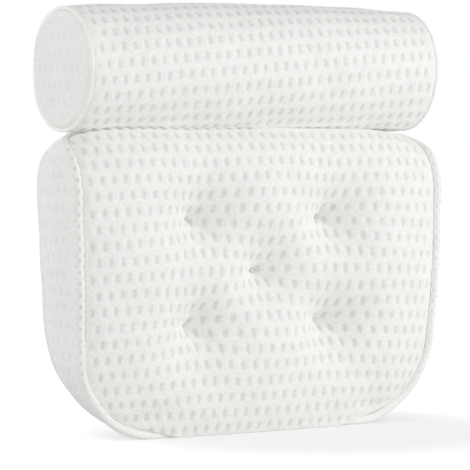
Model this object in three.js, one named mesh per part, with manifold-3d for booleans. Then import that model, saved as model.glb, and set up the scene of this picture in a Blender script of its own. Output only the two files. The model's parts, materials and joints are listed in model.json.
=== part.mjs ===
// A bath pillow: a tufted back pad that stands on its piping, a round neck roll hinged to the pad's
// top edge by a folded web, six swivelling suction cups behind, and a hook on a webbing loop.
// Millimetres, +Z up, the front faces -Y. The origin is under the middle of the part's box.
import * as THREE from "three";
import { mergeVertices } from "three/addons/utils/BufferGeometryUtils.js";
import Module from "manifold-3d";

const wasm = await Module();
wasm.setup();

// Cover cloth and seams
const fabric = 3; // thickness of the dimpled spacer mesh
const gap = 0.3; // clearance between pieces that touch
const pipingRadius = 4; // fold of cloth sewn along both seams of the pad
const weltRadius = 2; // narrower fold sewn along the end seams of the roll
const footCut = 0.5; // how far the piping is pressed flat under the pad

// Back pad
const padWidth = 386; // over the piping, along the straight line of its top edge
const padFootWidth = 366; // over the piping, along the line of its foot
const padHeight = 265; // floor to the top of the piping
const padDepth = 82; // between the planes of the front and back seams
const shoulderRadius = 16; // upper corners of the front panel
const footRadius = 76; // lower corners of the front panel
const backInset = 9; // how much less the back panel reaches on each side at its top
const backFootInset = 14; // and at its foot
const backShoulderRadius = 46; // upper corners of the back panel
const backFootRadius = 100; // lower corners of the back panel
const pinchStart = 200; // height above which the front seam draws back
const pinchDepth = 38; // how far it is drawn back at the top
const pinchPower = 3.5;
const tuckStart = 150; // height below which the front seam draws back
const tuckDepth = 14; // how far it is drawn back at the foot
const tuckPower = 1.5;
const sideBulge = 9; // how far the side band swells out between its seams
const crown = 22; // how far the front panel swells out of its seam

// Tufts
const tuftAcross = 138; // between the left and right pairs
const tuftRise = 93; // between the lower and upper pairs
const tuftCentreDrop = 123; // middle tuft below the pad's top
const tuftDepth = 40; // depth of a pit below the crown
const tuftReach = 27; // spread of a pit
const tieRadius = 1.5; // cord of a tuft tie
const tieKnotRadius = 2.6;
const tieKnotThickness = 1.6;
const tieKnotSeat = 2; // knot in front of its pit's bottom, where the walls close in on it
const washerRadius = 7; // felt washer under a tie's rear knot
const washerThickness = 1.5;

// Neck roll
const rollLength = 365; // over the welts of both end caps
const rollEndRadius = 52.8;
const rollMiddleRadius = 57;
const rollSetback = 0; // axis behind the middle of the pad's depth
const capDome = 5; // how far an end cap swells out

// Web between pad and roll
const webThickness = 2;
const webTail = 20; // length of the lower leaf below the pad's top edge
const webClimb = 20; // length of the upper leaf on the roll's back
const webMargin = 4; // from an end of the web to a pocket of the roll

// Suction cups
const cupRadius = 28;
const cupDepth = 13; // shoulder to rim
const cupWall = 2.4;
const cupLip = 2; // flat land of the rim
const stemRadius = 4;
const knobRadius = 8;
const knobThickness = 3.5;
const stemClearance = 0.4;
const patchRadius = 24; // cloth pocket that holds a cup's knob
const patchThickness = 1.6;
const patchHem = 8; // flat sewn border of a pocket
const eyeletWall = 1.2;
const eyeletFlange = 3.5;
const padCupAcross = 216; // between the left and right cups of the pad
const padCupRise = 74; // lower cups above the floor
const padCupDrop = 82; // upper cups below the pad's top
const rollCupInset = 50; // from an end of the roll to a cup

// Hanging loop and hook
const loopWidth = 14;
const loopThickness = 1.4;
const loopEye = 3.3; // inner radius of the loop's eye
const loopTail = 18; // sewn end above the eye
const loopRise = 3; // eye's centre above the roll's axis
const hookThickness = 4;
const hookBar = 4; // height of the bar in the loop's eye
const hookLeg = 3.5;
const hookSideClearance = 0.6;
const hookWindow = 2; // room below the eye inside the hook's frame
const hookNeck = 3.5; // solid web under the frame
const hookThroat = 7; // inner radius of the hook
const hookRim = 5; // width of the hook's curl
const hookMouth = [95, 210]; // degrees between which the curl is open

// Facets
const perSide = 18; // stations along each side of the pad's seams
const pipingSides = 6;
const bandSteps = 3;
const rollSides = 28;
const rollSteps = 8;
const cupSides = 14;
const eyeletSides = 12;
const tieSides = 10;

// Heights and planes that follow from the sizes above
const pipingFace = pipingRadius * Math.cos(Math.PI / pipingSides); // centre to a flat of the piping
const frontSeam = -padDepth / 2;
const backSeam = padDepth / 2;
const footLine = pipingFace - footCut;
const topLine = padHeight - pipingRadius;
const seamInset = pipingRadius + gap; // from a piping's centre to the edge of the panel it borders
const weltInset = weltRadius + gap;
const tuftCentreHeight = padHeight - tuftCentreDrop;
const padCupHigh = padHeight - padCupDrop;
const rollCupAcross = rollLength - 2 * rollCupInset;
const rollHeight = padHeight + gap + rollMiddleRadius;
const rollBack = backSeam + pipingRadius; // the flat of the roll's back is in line with the pad's piping
const rollFlat = rollBack - rollSetback; // axis to that flat
const webInner = rollBack + gap;
const webOuter = webInner + webThickness;
const webLength = rollCupAcross - 2 * (patchRadius + webMargin);
const foldHeight = rollHeight - Math.sqrt(rollMiddleRadius ** 2 - rollFlat ** 2);
const cordClearance = tieRadius + gap;

const colours = {
  mesh: [0xf1f1ef, 0.9],
  net: [0xe9eae8, 0.9],
  piping: [0xf3f3f1, 0.85],
  filling: [0xf6f5f0, 1],
  thread: [0xffffff, 0.8],
  webbing: [0xededea, 0.85],
  pvc: [0xdfe9ec, 0.15],
  plastic: [0xf4f4f2, 0.35],
};
const part = new THREE.Group();

// Adds a named mesh of the given finish to the part.
function place(name, geometry, finish, at = [0, 0, 0]) {
  const [color, roughness] = colours[finish];
  const mesh = new THREE.Mesh(geometry, new THREE.MeshStandardMaterial({ color, roughness, metalness: 0 }));
  mesh.name = name;
  mesh.position.set(...at);
  part.add(mesh);
  return mesh;
}

// Joins two rings of points, given from the front of a form to its back, by outward triangles.
// A ring of one point is a pole.
function strip(faces, front, back) {
  const count = Math.max(front.length, back.length);
  const at = (ring, j) => ring[ring.length === 1 ? 0 : j % count];
  for (let j = 0; j < count; j++) {
    if (back.length > 1) faces.push([at(front, j), at(back, j), at(back, j + 1)]);
    if (front.length > 1) faces.push([at(front, j), at(back, j + 1), at(front, j + 1)]);
  }
}

// A closed geometry from triangles, with its faces turned outwards.
function closedForm(faces) {
  let volume = 0;
  for (const [a, b, c] of faces) volume += a.dot(new THREE.Vector3().crossVectors(b, c));
  const ordered = volume < 0 ? faces.map(([a, b, c]) => [a, c, b]) : faces;
  const geometry = new THREE.BufferGeometry().setFromPoints(ordered.flat());
  return mergeVertices(geometry, 1e-4);
}

// Joins each ring to the next.
function stack(faces, rings) {
  rings.slice(1).forEach((ring, k) => strip(faces, rings[k], ring));
}

// A form that closes on itself both along its rings and round them.
function closedLoop(rings) {
  const faces = [];
  stack(faces, [...rings, rings[0]]);
  return closedForm(faces);
}

// A form whose rings run from one pole to the other.
function closedStack(rings) {
  const faces = [];
  stack(faces, rings);
  return closedForm(faces);
}

// A sleeve of cloth between an outer and an inner row of rings, open at both ends.
function sleeve(outer, inner) {
  const faces = [];
  const lining = [];
  stack(faces, outer);
  stack(lining, inner);
  faces.push(...lining.map(([a, b, c]) => [a, c, b]));
  strip(faces, inner[0], outer[0]);
  strip(faces, outer.at(-1), inner.at(-1));
  return closedForm(faces);
}

function toSolid(geometry) {
  const bare = geometry.clone();
  bare.deleteAttribute("normal");
  bare.deleteAttribute("uv");
  const merged = mergeVertices(bare, 1e-4);
  const vertProperties = merged.attributes.position.array;
  const triVerts = new Uint32Array(merged.index.array);
  return new wasm.Manifold(new wasm.Mesh({ numProp: 3, vertProperties, triVerts }));
}

function toGeometry(solid) {
  const mesh = solid.getMesh();
  const geometry = new THREE.BufferGeometry();
  geometry.setAttribute("position", new THREE.BufferAttribute(mesh.vertProperties, 3));
  geometry.setIndex(new THREE.BufferAttribute(mesh.triVerts, 1));
  return geometry;
}

function cut(geometry, tools) {
  return toGeometry(tools.reduce((solid, tool) => solid.subtract(toSolid(tool)), toSolid(geometry)));
}

// A round bar along Y.
function bar(radius, from, to, x, z, sides) {
  const geometry = new THREE.CylinderGeometry(radius, radius, to - from, sides);
  return geometry.translate(x, (from + to) / 2, z);
}

function lathe(profile, sides) {
  return new THREE.LatheGeometry(profile.map(([r, h]) => new THREE.Vector2(r, h)), sides);
}

// Seam outlines. A rounded four-cornered outline is sampled side by side, each side from the middle
// of one corner to the middle of the next: foot, right, top, left.
function outline(width, footWidth, upperRadius, lowerRadius) {
  const half = width / 2 - pipingRadius;
  const footHalf = footWidth / 2 - pipingRadius;
  const corners = [
    [-footHalf, footLine, lowerRadius],
    [footHalf, footLine, lowerRadius],
    [half, topLine, upperRadius],
    [-half, topLine, upperRadius],
  ].map(([x, z, radius]) => ({ at: new THREE.Vector2(x, z), radius }));
  const arcs = corners.map(({ at, radius }, k) => {
    const into = at.clone().sub(corners[(k + 3) % 4].at).normalize();
    const out = corners[(k + 1) % 4].at.clone().sub(at).normalize();
    const turn = Math.acos(into.dot(out));
    const inward = new THREE.Vector2(-into.y, into.x);
    const start = at.clone().addScaledVector(into, -radius * Math.tan(turn / 2));
    const centre = start.clone().addScaledVector(inward, radius);
    const from = Math.atan2(-inward.y, -inward.x);
    return { centre, radius, from, middle: from + turn / 2, to: from + turn };
  });
  return arcs.flatMap((a, k) => {
    const b = arcs[(k + 1) % 4];
    const side = new THREE.Path();
    side.absarc(a.centre.x, a.centre.y, a.radius, a.middle, a.to, false);
    side.absarc(b.centre.x, b.centre.y, b.radius, b.from, b.middle, false);
    return side.getSpacedPoints(perSide).slice(0, perSide);
  });
}

// Outward step at each corner of a closed outline that keeps its offset edges parallel.
function outwardSteps(ring) {
  const normals = ring.map((p, j) => {
    const edge = ring[(j + 1) % ring.length].clone().sub(p).normalize();
    return new THREE.Vector2(edge.y, -edge.x);
  });
  return normals.map((n, j) => {
    const before = normals[(j + ring.length - 1) % ring.length];
    return n.clone().add(before).divideScalar(1 + n.dot(before));
  });
}

function offsetRing(ring, distance) {
  const steps = outwardSteps(ring);
  return ring.map((p, j) => p.clone().addScaledVector(steps[j], distance));
}

// The front seam stands upright and draws back towards the pad's top and, less, towards its foot.
function pinched(z) {
  const climb = THREE.MathUtils.clamp((z - pinchStart) / (topLine - pinchStart), 0, 1);
  const fall = THREE.MathUtils.clamp((tuckStart - z) / (tuckStart - footLine), 0, 1);
  return frontSeam + pinchDepth * climb ** pinchPower + tuckDepth * fall ** tuckPower;
}

const frontOutline = outline(padWidth, padFootWidth, shoulderRadius, footRadius);
const backOutline = outline(
  padWidth - 2 * backInset,
  padFootWidth - 2 * backFootInset,
  backShoulderRadius,
  backFootRadius,
);
const frontRing = frontOutline.map((p) => new THREE.Vector3(p.x, pinched(p.y), p.y));
const backRing = backOutline.map((p) => new THREE.Vector3(p.x, backSeam, p.y));

// Piping: a tube round a closed seam, pressed flat where the pad stands on it.
function pipingAlong(ring, flat) {
  const outward = outwardSteps(flat);
  const rings = ring.map((p, j) => {
    const before = ring[(j + ring.length - 1) % ring.length];
    const after = ring[(j + 1) % ring.length];
    const side = new THREE.Vector3(outward[j].x, 0, outward[j].y);
    const along = after.clone().sub(before).normalize();
    const over = new THREE.Vector3().crossVectors(along, side.clone().normalize());
    return Array.from({ length: pipingSides }, (_, k) => {
      const angle = ((k + 0.5) / pipingSides) * 2 * Math.PI;
      const point = p.clone().addScaledVector(side, pipingRadius * Math.cos(angle));
      point.addScaledVector(over, pipingRadius * Math.sin(angle));
      point.z = Math.max(point.z, 0);
      return point;
    });
  });
  return closedLoop(rings);
}

// How much further along Y a line must lie to stay clear of a seam that slopes back.
const slopeStretch = frontRing.map((p, j) => {
  const slopes = [frontRing.length - 1, 1].map((step) => {
    const q = frontRing[(j + step) % frontRing.length];
    return Math.hypot(q.x - p.x, q.y - p.y, q.z - p.z) / Math.hypot(q.x - p.x, q.z - p.z);
  });
  return Math.max(...slopes);
});

// A point of the side band, a share of the way between its seams and offset out of them.
const bandFace = pipingRadius / 2; // the band's face lies a little inside the piping's
const bandShares = Array.from({ length: bandSteps + 1 }, (_, k) => k / bandSteps);
const frontOut = outwardSteps(frontOutline);
const backOut = outwardSteps(backOutline);
function bandPoint(j, share, offset, clearance) {
  const front = frontRing[j];
  const back = backRing[j];
  const from = front.y + clearance * slopeStretch[j];
  const to = back.y - clearance;
  const depth = (back.y - front.y) / padDepth;
  const swell = sideBulge * depth * frontOut[j].x ** 2 * Math.sin(Math.PI * share);
  const out = frontOut[j].clone().lerp(backOut[j], share).multiplyScalar(offset + Math.min(swell, sideBulge));
  const x = THREE.MathUtils.lerp(front.x, back.x, share) + out.x;
  const z = THREE.MathUtils.lerp(front.z, back.z, share) + out.y;
  return new THREE.Vector3(x, THREE.MathUtils.lerp(from, to, share), z);
}

// The front panel's face over a square net of stations that follows its outline.
function panelNet(inset) {
  const border = offsetRing(frontOutline, -inset);
  const [foot, right, top, left] = [0, 1, 2, 3].map((k) => (t) => border[(k * perSide + t) % border.length]);
  const net = [];
  for (let i = 0; i <= perSide; i++) {
    const u = i / perSide;
    net.push([]);
    for (let j = 0; j <= perSide; j++) {
      const v = j / perSide;
      const point = new THREE.Vector2();
      point.addScaledVector(foot(i), 1 - v).addScaledVector(top(perSide - i), v);
      point.addScaledVector(left(perSide - j), 1 - u).addScaledVector(right(j), u);
      point.addScaledVector(foot(0), -(1 - u) * (1 - v)).addScaledVector(right(0), -u * (1 - v));
      point.addScaledVector(top(0), -u * v).addScaledVector(left(0), -(1 - u) * v);
      const swell = Math.sqrt(4 * u * (1 - u) * 4 * v * (1 - v));
      net[i].push({ x: point.x, z: point.y, swell });
    }
  }
  return net;
}

const tufts = [
  [-0.5, 0.5],
  [0.5, 0.5],
  [0, 0],
  [-0.5, -0.5],
  [0.5, -0.5],
].map(([across, rise]) => ({ x: across * tuftAcross, z: tuftCentreHeight + rise * tuftRise }));

const frontNet = panelNet(seamInset);
for (const tuft of tufts) {
  const nodes = frontNet.flat();
  const distances = nodes.map((node) => Math.hypot(node.x - tuft.x, node.z - tuft.z));
  const nearest = nodes[distances.indexOf(Math.min(...distances))];
  Object.assign(nearest, tuft);
}

function frontFace({ x, z, swell }) {
  const pits = tufts.map((t) => Math.exp(-((x - t.x) ** 2 + (z - t.z) ** 2) / tuftReach ** 2));
  const dip = tuftDepth * Math.max(...pits) * swell;
  return pinched(z) - crown * swell + dip;
}

// The front face's net of points, moved back by a distance.
function frontLayer(back) {
  return frontNet.map((column) =>
    column.map((node) => new THREE.Vector3(node.x, frontFace(node) + back, node.z)),
  );
}

// Triangles over a net of points, seen from its front or from behind.
function netFaces(faces, layer, facingFront) {
  for (let i = 0; i + 1 < layer.length; i++) {
    for (let j = 0; j + 1 < layer[0].length; j++) {
      const [a, b, c, d] = [layer[i][j], layer[i + 1][j], layer[i + 1][j + 1], layer[i][j + 1]];
      faces.push(facingFront ? [a, b, c] : [a, c, b], facingFront ? [a, c, d] : [a, d, c]);
    }
  }
}

// The points round a net: foot, right, top, left.
function netBorder(layer) {
  const right = layer.length - 1;
  const top = layer[0].length - 1;
  const across = Array.from({ length: right }, (_, k) => k);
  const climb = Array.from({ length: top }, (_, k) => k);
  return [
    ...across.map((k) => layer[k][0]),
    ...climb.map((k) => layer[right][k]),
    ...across.map((k) => layer[right - k][top]),
    ...climb.map((k) => layer[0][top - k]),
  ];
}

// A sheet of cloth between a front net and a back net.
function sheetOf(front, back) {
  const faces = [];
  netFaces(faces, front, true);
  netFaces(faces, back, false);
  strip(faces, netBorder(front), netBorder(back));
  return closedForm(faces);
}

// Tuft ties: a knot in each pit, a cord through the filling and a knot on a washer behind.
const ties = tufts.map(({ x, z }) => {
  const node = frontNet.flat().find((n) => n.x === x && n.z === z);
  return { x, z, pit: frontFace(node) };
});

function frontPanel() {
  const holes = ties.flatMap(({ x, z, pit }) => [
    bar(cordClearance, pit - tuftDepth, pit + tuftDepth, x, z, tieSides),
    bar(tieKnotRadius + gap, pit - tuftDepth, pit - tieKnotSeat, x, z, tieSides),
  ]);
  return cut(sheetOf(frontLayer(0), frontLayer(fabric)), holes);
}

// The filling meets the cover all round and lies clear of the piping's inner half.
function padFilling() {
  const faces = [];
  const face = frontLayer(fabric + gap);
  netFaces(faces, face, true);
  const clear = Math.max(fabric, pipingRadius) + 2 * gap;
  const frontShelf = netBorder(face).map((p, j) => {
    const y = Math.max(frontRing[j].y + clear * slopeStretch[j], p.y + gap);
    return new THREE.Vector3(p.x, y, p.z);
  });
  const sides = bandRings(bandFace - fabric - gap, clear);
  const tail = backSeam - clear;
  const backShelf = offsetRing(backOutline, -seamInset).map((p) => new THREE.Vector3(p.x, tail, p.y));
  const middle = [new THREE.Vector3(0, tail, padHeight / 2)];
  stack(faces, [netBorder(face), frontShelf, ...sides, backShelf, middle]);
  const bores = ties.map(({ x, z, pit }) => bar(tieKnotRadius + gap, pit - tuftDepth, backSeam, x, z, tieSides));
  return cut(closedForm(faces), bores);
}

function bandRings(offset, clearance) {
  return bandShares.map((share) => frontRing.map((_, j) => bandPoint(j, share, offset, clearance)));
}

function sideBand() {
  return sleeve(bandRings(bandFace, seamInset), bandRings(bandFace - fabric, seamInset));
}

// The back panel lies flat between its piping, with a hole for each tie.
function backPanel() {
  const edge = offsetRing(backOutline, -seamInset);
  const sheet = new THREE.ExtrudeGeometry(new THREE.Shape(edge), { depth: fabric, bevelEnabled: false });
  sheet.rotateX(Math.PI / 2).translate(0, backSeam, 0);
  const holes = ties.map(({ x, z }) => bar(cordClearance, backSeam - padDepth, backSeam + padDepth, x, z, tieSides));
  return cut(sheet, holes);
}

function tuftTie({ pit }) {
  const knot = pit - tieKnotSeat - gap;
  const seat = backSeam + gap + washerThickness + gap;
  const profile = [
    [0, knot - tieKnotThickness],
    [tieKnotRadius, knot - tieKnotThickness],
    [tieKnotRadius, knot],
    [tieRadius, knot],
    [tieRadius, seat],
    [tieKnotRadius, seat],
    [tieKnotRadius, seat + tieKnotThickness],
    [0, seat + tieKnotThickness],
  ];
  return lathe(profile, tieSides);
}

function tuftWasher() {
  const near = backSeam + gap;
  const far = near + washerThickness;
  const ring = [
    [cordClearance, near],
    [washerRadius, near],
    [washerRadius, far],
    [cordClearance, far],
    [cordClearance, near],
  ];
  return lathe(ring, tieSides);
}

// Neck roll: rings round its axis, swelling to the middle, with a flat pressed into the back.
function rollRadius(x) {
  return rollMiddleRadius - (rollMiddleRadius - rollEndRadius) * ((2 * x) / rollLength) ** 2;
}

function rollOutline(x) {
  const radius = rollRadius(x);
  return Array.from({ length: rollSides }, (_, k) => {
    const angle = (k / rollSides) * 2 * Math.PI;
    return new THREE.Vector2(Math.min(radius * Math.cos(angle), rollFlat), radius * Math.sin(angle));
  });
}

// The roll's section at x, moved inwards by a depth and then drawn towards the axis by a share.
function rollRing(x, depth, share = 1, shift = 0) {
  return offsetRing(rollOutline(x), -depth).map(
    (p) => new THREE.Vector3(x + shift, rollSetback + p.x * share, rollHeight + p.y * share),
  );
}

const rollEnd = rollLength / 2 - weltRadius; // middle of an end welt
const wrapEnd = rollEnd - weltInset;
const wrapStations = Array.from({ length: rollSteps + 1 }, (_, k) => wrapEnd * ((2 * k) / rollSteps - 1));
const capEdge = weltRadius + weltInset; // depth of an end cap's edge below the roll's surface

function rollWrap() {
  const outer = wrapStations.map((x) => rollRing(x, 0));
  const inner = wrapStations.map((x) => rollRing(x, fabric));
  return sleeve(outer, inner);
}

function rollPiping(side) {
  const rings = Array.from({ length: pipingSides }, (_, k) => {
    const angle = ((k + 0.5) / pipingSides) * 2 * Math.PI;
    const depth = weltRadius - weltRadius * Math.cos(angle);
    return rollRing(side * rollEnd, depth, 1, side * weltRadius * Math.sin(angle));
  });
  return closedLoop(rings);
}

const capShares = [0.72, 0.4]; // rings of an end cap between its edge and its middle
function capFace(side, back) {
  const x = side * rollEnd;
  const rim = rollRing(x, capEdge, 1, -side * back);
  const dome = capShares.map((share) => rollRing(x, capEdge, share, side * (capDome * (1 - share ** 2) - back)));
  const middle = [new THREE.Vector3(x + side * (capDome - back), rollSetback, rollHeight)];
  return [rim, ...dome, middle];
}

function rollCap(side) {
  return closedStack([...capFace(side, 0).reverse(), ...capFace(side, fabric)]);
}

function rollFilling() {
  const inset = fabric + gap;
  const shoulder = Math.min(wrapEnd, rollEnd - inset) - gap;
  const sides = wrapStations.map((x) => rollRing((x * shoulder) / wrapEnd, inset));
  const [left, right] = [-1, 1].map((side) => capFace(side, inset));
  const ends = [-1, 1].map((side) => [rollRing(side * shoulder, capEdge)]);
  return closedStack([...left.reverse(), ...ends[0], ...sides, ...ends[1], ...right]);
}

// Web: one flat strip behind the pad's top piping and the roll's back, in a lower and an upper leaf.
// They meet at the fold, on the strip's rear face, where the roll turns.
function webLeaf(foot, head) {
  const leaf = new THREE.BoxGeometry(webLength, webThickness, head - foot);
  return leaf.translate(0, (webInner + webOuter) / 2, (head + foot) / 2);
}

// Suction cups. Heights are from the cloth that a pocket is sewn to, along +Y.
const knobFoot = 2 * gap;
const knobTop = knobFoot + knobThickness;
const innerFlange = knobTop + gap;
const pocketRoof = innerFlange + eyeletWall + gap;
const outerFlange = pocketRoof + patchThickness + gap;
const cupShoulder = outerFlange + eyeletWall + gap;
const cupRim = cupShoulder + cupDepth;
const eyeletBore = stemRadius + stemClearance;
const eyeletGroove = eyeletBore + eyeletWall;
const pocketHole = eyeletGroove + gap;
const pocketWall = patchRadius - patchHem;

function cupPocket() {
  const hemTop = gap + patchThickness;
  const roofTop = pocketRoof + patchThickness;
  const roofEdge = pocketWall - patchThickness;
  const ring = [
    [pocketWall, gap],
    [patchRadius, gap],
    [patchRadius, hemTop],
    [pocketWall + patchThickness, hemTop],
    [roofEdge + patchThickness, roofTop],
    [pocketHole, roofTop],
    [pocketHole, pocketRoof],
    [roofEdge, pocketRoof],
    [pocketWall, gap],
  ];
  return lathe(ring, cupSides);
}

function cupEyelet() {
  const rim = eyeletBore + eyeletFlange;
  const ring = [
    [eyeletBore, innerFlange],
    [rim, innerFlange],
    [rim, innerFlange + eyeletWall],
    [eyeletGroove, innerFlange + eyeletWall],
    [eyeletGroove, outerFlange],
    [rim, outerFlange],
    [rim, outerFlange + eyeletWall],
    [eyeletBore, outerFlange + eyeletWall],
    [eyeletBore, innerFlange],
  ];
  return lathe(ring, eyeletSides);
}

// A cup flares from its boss to its rim in a curve; the inner face follows a wall behind it.
function suctionCup() {
  const boss = stemRadius + eyeletFlange;
  const bell = (share) => [boss + (cupRadius - boss) * share, cupShoulder + cupDepth * share ** 1.6];
  const hollow = cupShoulder + cupWall + stemRadius / 2;
  const mouth = cupRadius - cupLip;
  const inside = (share) => [mouth * share, hollow + (cupRim - hollow) * share ** 2.2];
  const profile = [
    [0, knobFoot],
    [knobRadius, knobFoot],
    [knobRadius, knobTop],
    [stemRadius, knobTop],
    [stemRadius, cupShoulder],
    ...[0, 0.35, 0.7, 1].map(bell),
    ...[1, 0.7, 0.35, 0].map(inside),
  ];
  return lathe(profile, cupSides);
}

const cupPlaces = [
  { name: "pad_upper_left", x: -padCupAcross / 2, y: backSeam, z: padCupHigh },
  { name: "pad_upper_right", x: padCupAcross / 2, y: backSeam, z: padCupHigh },
  { name: "pad_lower_left", x: -padCupAcross / 2, y: backSeam, z: padCupRise },
  { name: "pad_lower_right", x: padCupAcross / 2, y: backSeam, z: padCupRise },
  { name: "roll_left", x: -rollCupAcross / 2, y: rollBack, z: rollHeight },
  { name: "roll_right", x: rollCupAcross / 2, y: rollBack, z: rollHeight },
];

// Hanging loop: webbing folded round an eye, with its sewn tail flat on the roll's back.
const eyeOuter = loopEye + loopThickness;
const eyeHeight = rollHeight + loopRise;
const eyeDepth = rollBack + gap + eyeOuter;

function hangingLoop() {
  const tailTop = loopTail;
  const meet = Math.PI - Math.acos((eyeOuter - loopThickness) / eyeOuter);
  const shape = new THREE.Shape();
  shape.moveTo(-eyeOuter, tailTop);
  shape.absarc(0, 0, eyeOuter, Math.PI, meet + 2 * Math.PI, false);
  shape.lineTo(loopThickness - eyeOuter, tailTop);
  shape.holes.push(new THREE.Path().absarc(0, 0, loopEye, 0, 2 * Math.PI, true));
  const band = new THREE.ExtrudeGeometry(shape, { depth: loopWidth, bevelEnabled: false, curveSegments: 8 });
  const axes = [new THREE.Vector3(0, 1, 0), new THREE.Vector3(0, 0, 1), new THREE.Vector3(1, 0, 0)];
  return band.translate(0, 0, -loopWidth / 2).applyMatrix4(new THREE.Matrix4().makeBasis(...axes));
}

// Hook: a moulded plate with a bar through the loop's eye and a curl below, open to one side.
function hangingHook() {
  const top = hookBar / 2;
  const inner = loopWidth / 2 + hookSideClearance;
  const side = inner + hookLeg;
  const sill = -eyeOuter - hookWindow;
  const base = sill - hookNeck;
  const outer = Math.max(hookThroat + hookRim, side + gap);
  const centre = base - hookThroat;
  const [mouthTop, mouthTip] = hookMouth.map((degrees) => THREE.MathUtils.degToRad(degrees));
  const join = Math.acos(side / outer);
  const shape = new THREE.Shape();
  shape.moveTo(-side, top);
  shape.lineTo(-side, base);
  shape.absarc(0, centre, hookThroat, mouthTop, mouthTip - 2 * Math.PI, true);
  shape.absarc(0, centre, outer, mouthTip - 2 * Math.PI, join, false);
  shape.lineTo(side, top);
  const window = new THREE.Path();
  window.moveTo(-inner, -top);
  window.lineTo(inner, -top);
  window.lineTo(inner, sill);
  window.lineTo(-inner, sill);
  shape.holes.push(window);
  const plate = new THREE.ExtrudeGeometry(shape, { depth: hookThickness, bevelEnabled: false, curveSegments: 12 });
  return plate.translate(0, 0, -hookThickness / 2).rotateX(Math.PI / 2);
}

place("pad_front_panel", frontPanel(), "mesh");
place("pad_side_band", sideBand(), "mesh");
place("pad_back_panel", backPanel(), "net");
place("pad_front_piping", pipingAlong(frontRing, frontOutline), "piping");
place("pad_back_piping", pipingAlong(backRing, backOutline), "piping");
place("pad_filling", padFilling(), "filling");
ties.forEach((tie, k) => {
  place(`tuft_tie_${k + 1}`, tuftTie(tie), "thread", [tie.x, 0, tie.z]);
  place(`tuft_washer_${k + 1}`, tuftWasher(), "webbing", [tie.x, 0, tie.z]);
});
place("web_lower_leaf", webLeaf(topLine - webTail, foldHeight - gap), "webbing");
place("web_upper_leaf", webLeaf(foldHeight + gap, foldHeight + gap + webClimb), "webbing");
place("roll_wrap", rollWrap(), "mesh");
place("roll_left_cap", rollCap(-1), "mesh");
place("roll_right_cap", rollCap(1), "mesh");
place("roll_left_piping", rollPiping(-1), "piping");
place("roll_right_piping", rollPiping(1), "piping");
place("roll_filling", rollFilling(), "filling");
for (const { name, x, y, z } of cupPlaces) {
  place(`${name}_pocket`, cupPocket(), "webbing", [x, y, z]);
  place(`${name}_eyelet`, cupEyelet(), "plastic", [x, y, z]);
  place(`${name}_cup`, suctionCup(), "pvc", [x, y, z]);
}
place("hanging_loop", hangingLoop(), "webbing", [0, eyeDepth, eyeHeight]);
place("hanging_hook", hangingHook(), "plastic", [0, eyeDepth, eyeHeight]);

// The origin is under the middle of the box that holds the whole part.
const box = new THREE.Box3().setFromObject(part, true);
const middleDepth = (box.min.y + box.max.y) / 2;
for (const mesh of part.children) mesh.position.y -= middleDepth;

export default part;
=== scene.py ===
"""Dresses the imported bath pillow: dimpled cover, piping, tufts, folding web, suction cups and hook.

Every size is in millimetres in the part's frame: +Z up, the front faces -Y, and the floor is at zero.
"""

import json
import logging
import math
from dataclasses import dataclass, field
from enum import Enum

import bpy
import numpy as np
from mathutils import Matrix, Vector


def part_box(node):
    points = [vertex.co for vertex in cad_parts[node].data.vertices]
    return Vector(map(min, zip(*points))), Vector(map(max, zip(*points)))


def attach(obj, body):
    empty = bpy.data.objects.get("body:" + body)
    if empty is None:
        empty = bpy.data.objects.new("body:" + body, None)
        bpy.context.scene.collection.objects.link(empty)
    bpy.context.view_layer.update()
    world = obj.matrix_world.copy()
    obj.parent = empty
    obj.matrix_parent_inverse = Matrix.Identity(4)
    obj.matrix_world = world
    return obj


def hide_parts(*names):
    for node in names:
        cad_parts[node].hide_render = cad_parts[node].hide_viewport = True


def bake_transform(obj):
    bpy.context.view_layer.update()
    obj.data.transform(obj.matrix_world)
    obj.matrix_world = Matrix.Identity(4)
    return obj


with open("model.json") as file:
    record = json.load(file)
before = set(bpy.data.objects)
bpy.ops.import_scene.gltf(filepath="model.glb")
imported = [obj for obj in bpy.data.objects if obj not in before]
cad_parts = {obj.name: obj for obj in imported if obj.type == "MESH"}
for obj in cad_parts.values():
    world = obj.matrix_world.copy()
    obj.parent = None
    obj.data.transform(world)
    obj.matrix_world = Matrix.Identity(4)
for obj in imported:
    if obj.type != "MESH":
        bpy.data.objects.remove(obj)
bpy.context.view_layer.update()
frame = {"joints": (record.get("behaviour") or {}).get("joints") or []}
MM = 0.001
TAU = 2 * math.pi
log = logging.getLogger("bath_pillow")

Socket = bpy.types.NodeSocket
Piece = bpy.types.Object
Tree = bpy.types.NodeTree
Node = bpy.types.Node
Array = np.ndarray
Profile = list[tuple[float, float]]

# How square a pressed oval is: 2 is a true ellipse.
OVAL_POWER = 3.4
# A noise lies mostly between these values.
NOISE_LIMITS = {"From Min": 0.3, "From Max": 0.7}
MULTIPLY = {"data_type": "RGBA", "blend_type": "MULTIPLY"}


class Body(Enum):
    """Bodies of the part that the pieces move with."""

    PAD = "back_pad"
    ROLL = "neck_roll"
    HOOK = "hook"


class Slot(Enum):
    """Material slots of the record."""

    MESH = "mesh_fabric"
    NET = "net_fabric"
    PIPING = "piping_fabric"
    FILLING = "filling_fibre"
    THREAD = "thread"
    WEBBING = "webbing"
    PVC = "clear_pvc"
    PLASTIC = "white_plastic"


def linear(code: str) -> tuple[float, float, float, float]:
    """Turns an sRGB hex colour into the linear colour that a shader takes.

    Args:
        code: Six hex digits, with or without a leading hash.

    Returns:
        Red, green, blue and a full alpha.
    """
    digits = code.lstrip("#")
    parts = [int(digits[k : k + 2], 16) / 255 for k in (0, 2, 4)]
    red, green, blue = [c / 12.92 if c <= 0.04045 else ((c + 0.055) / 1.055) ** 2.4 for c in parts]
    return red, green, blue, 1.0


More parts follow.
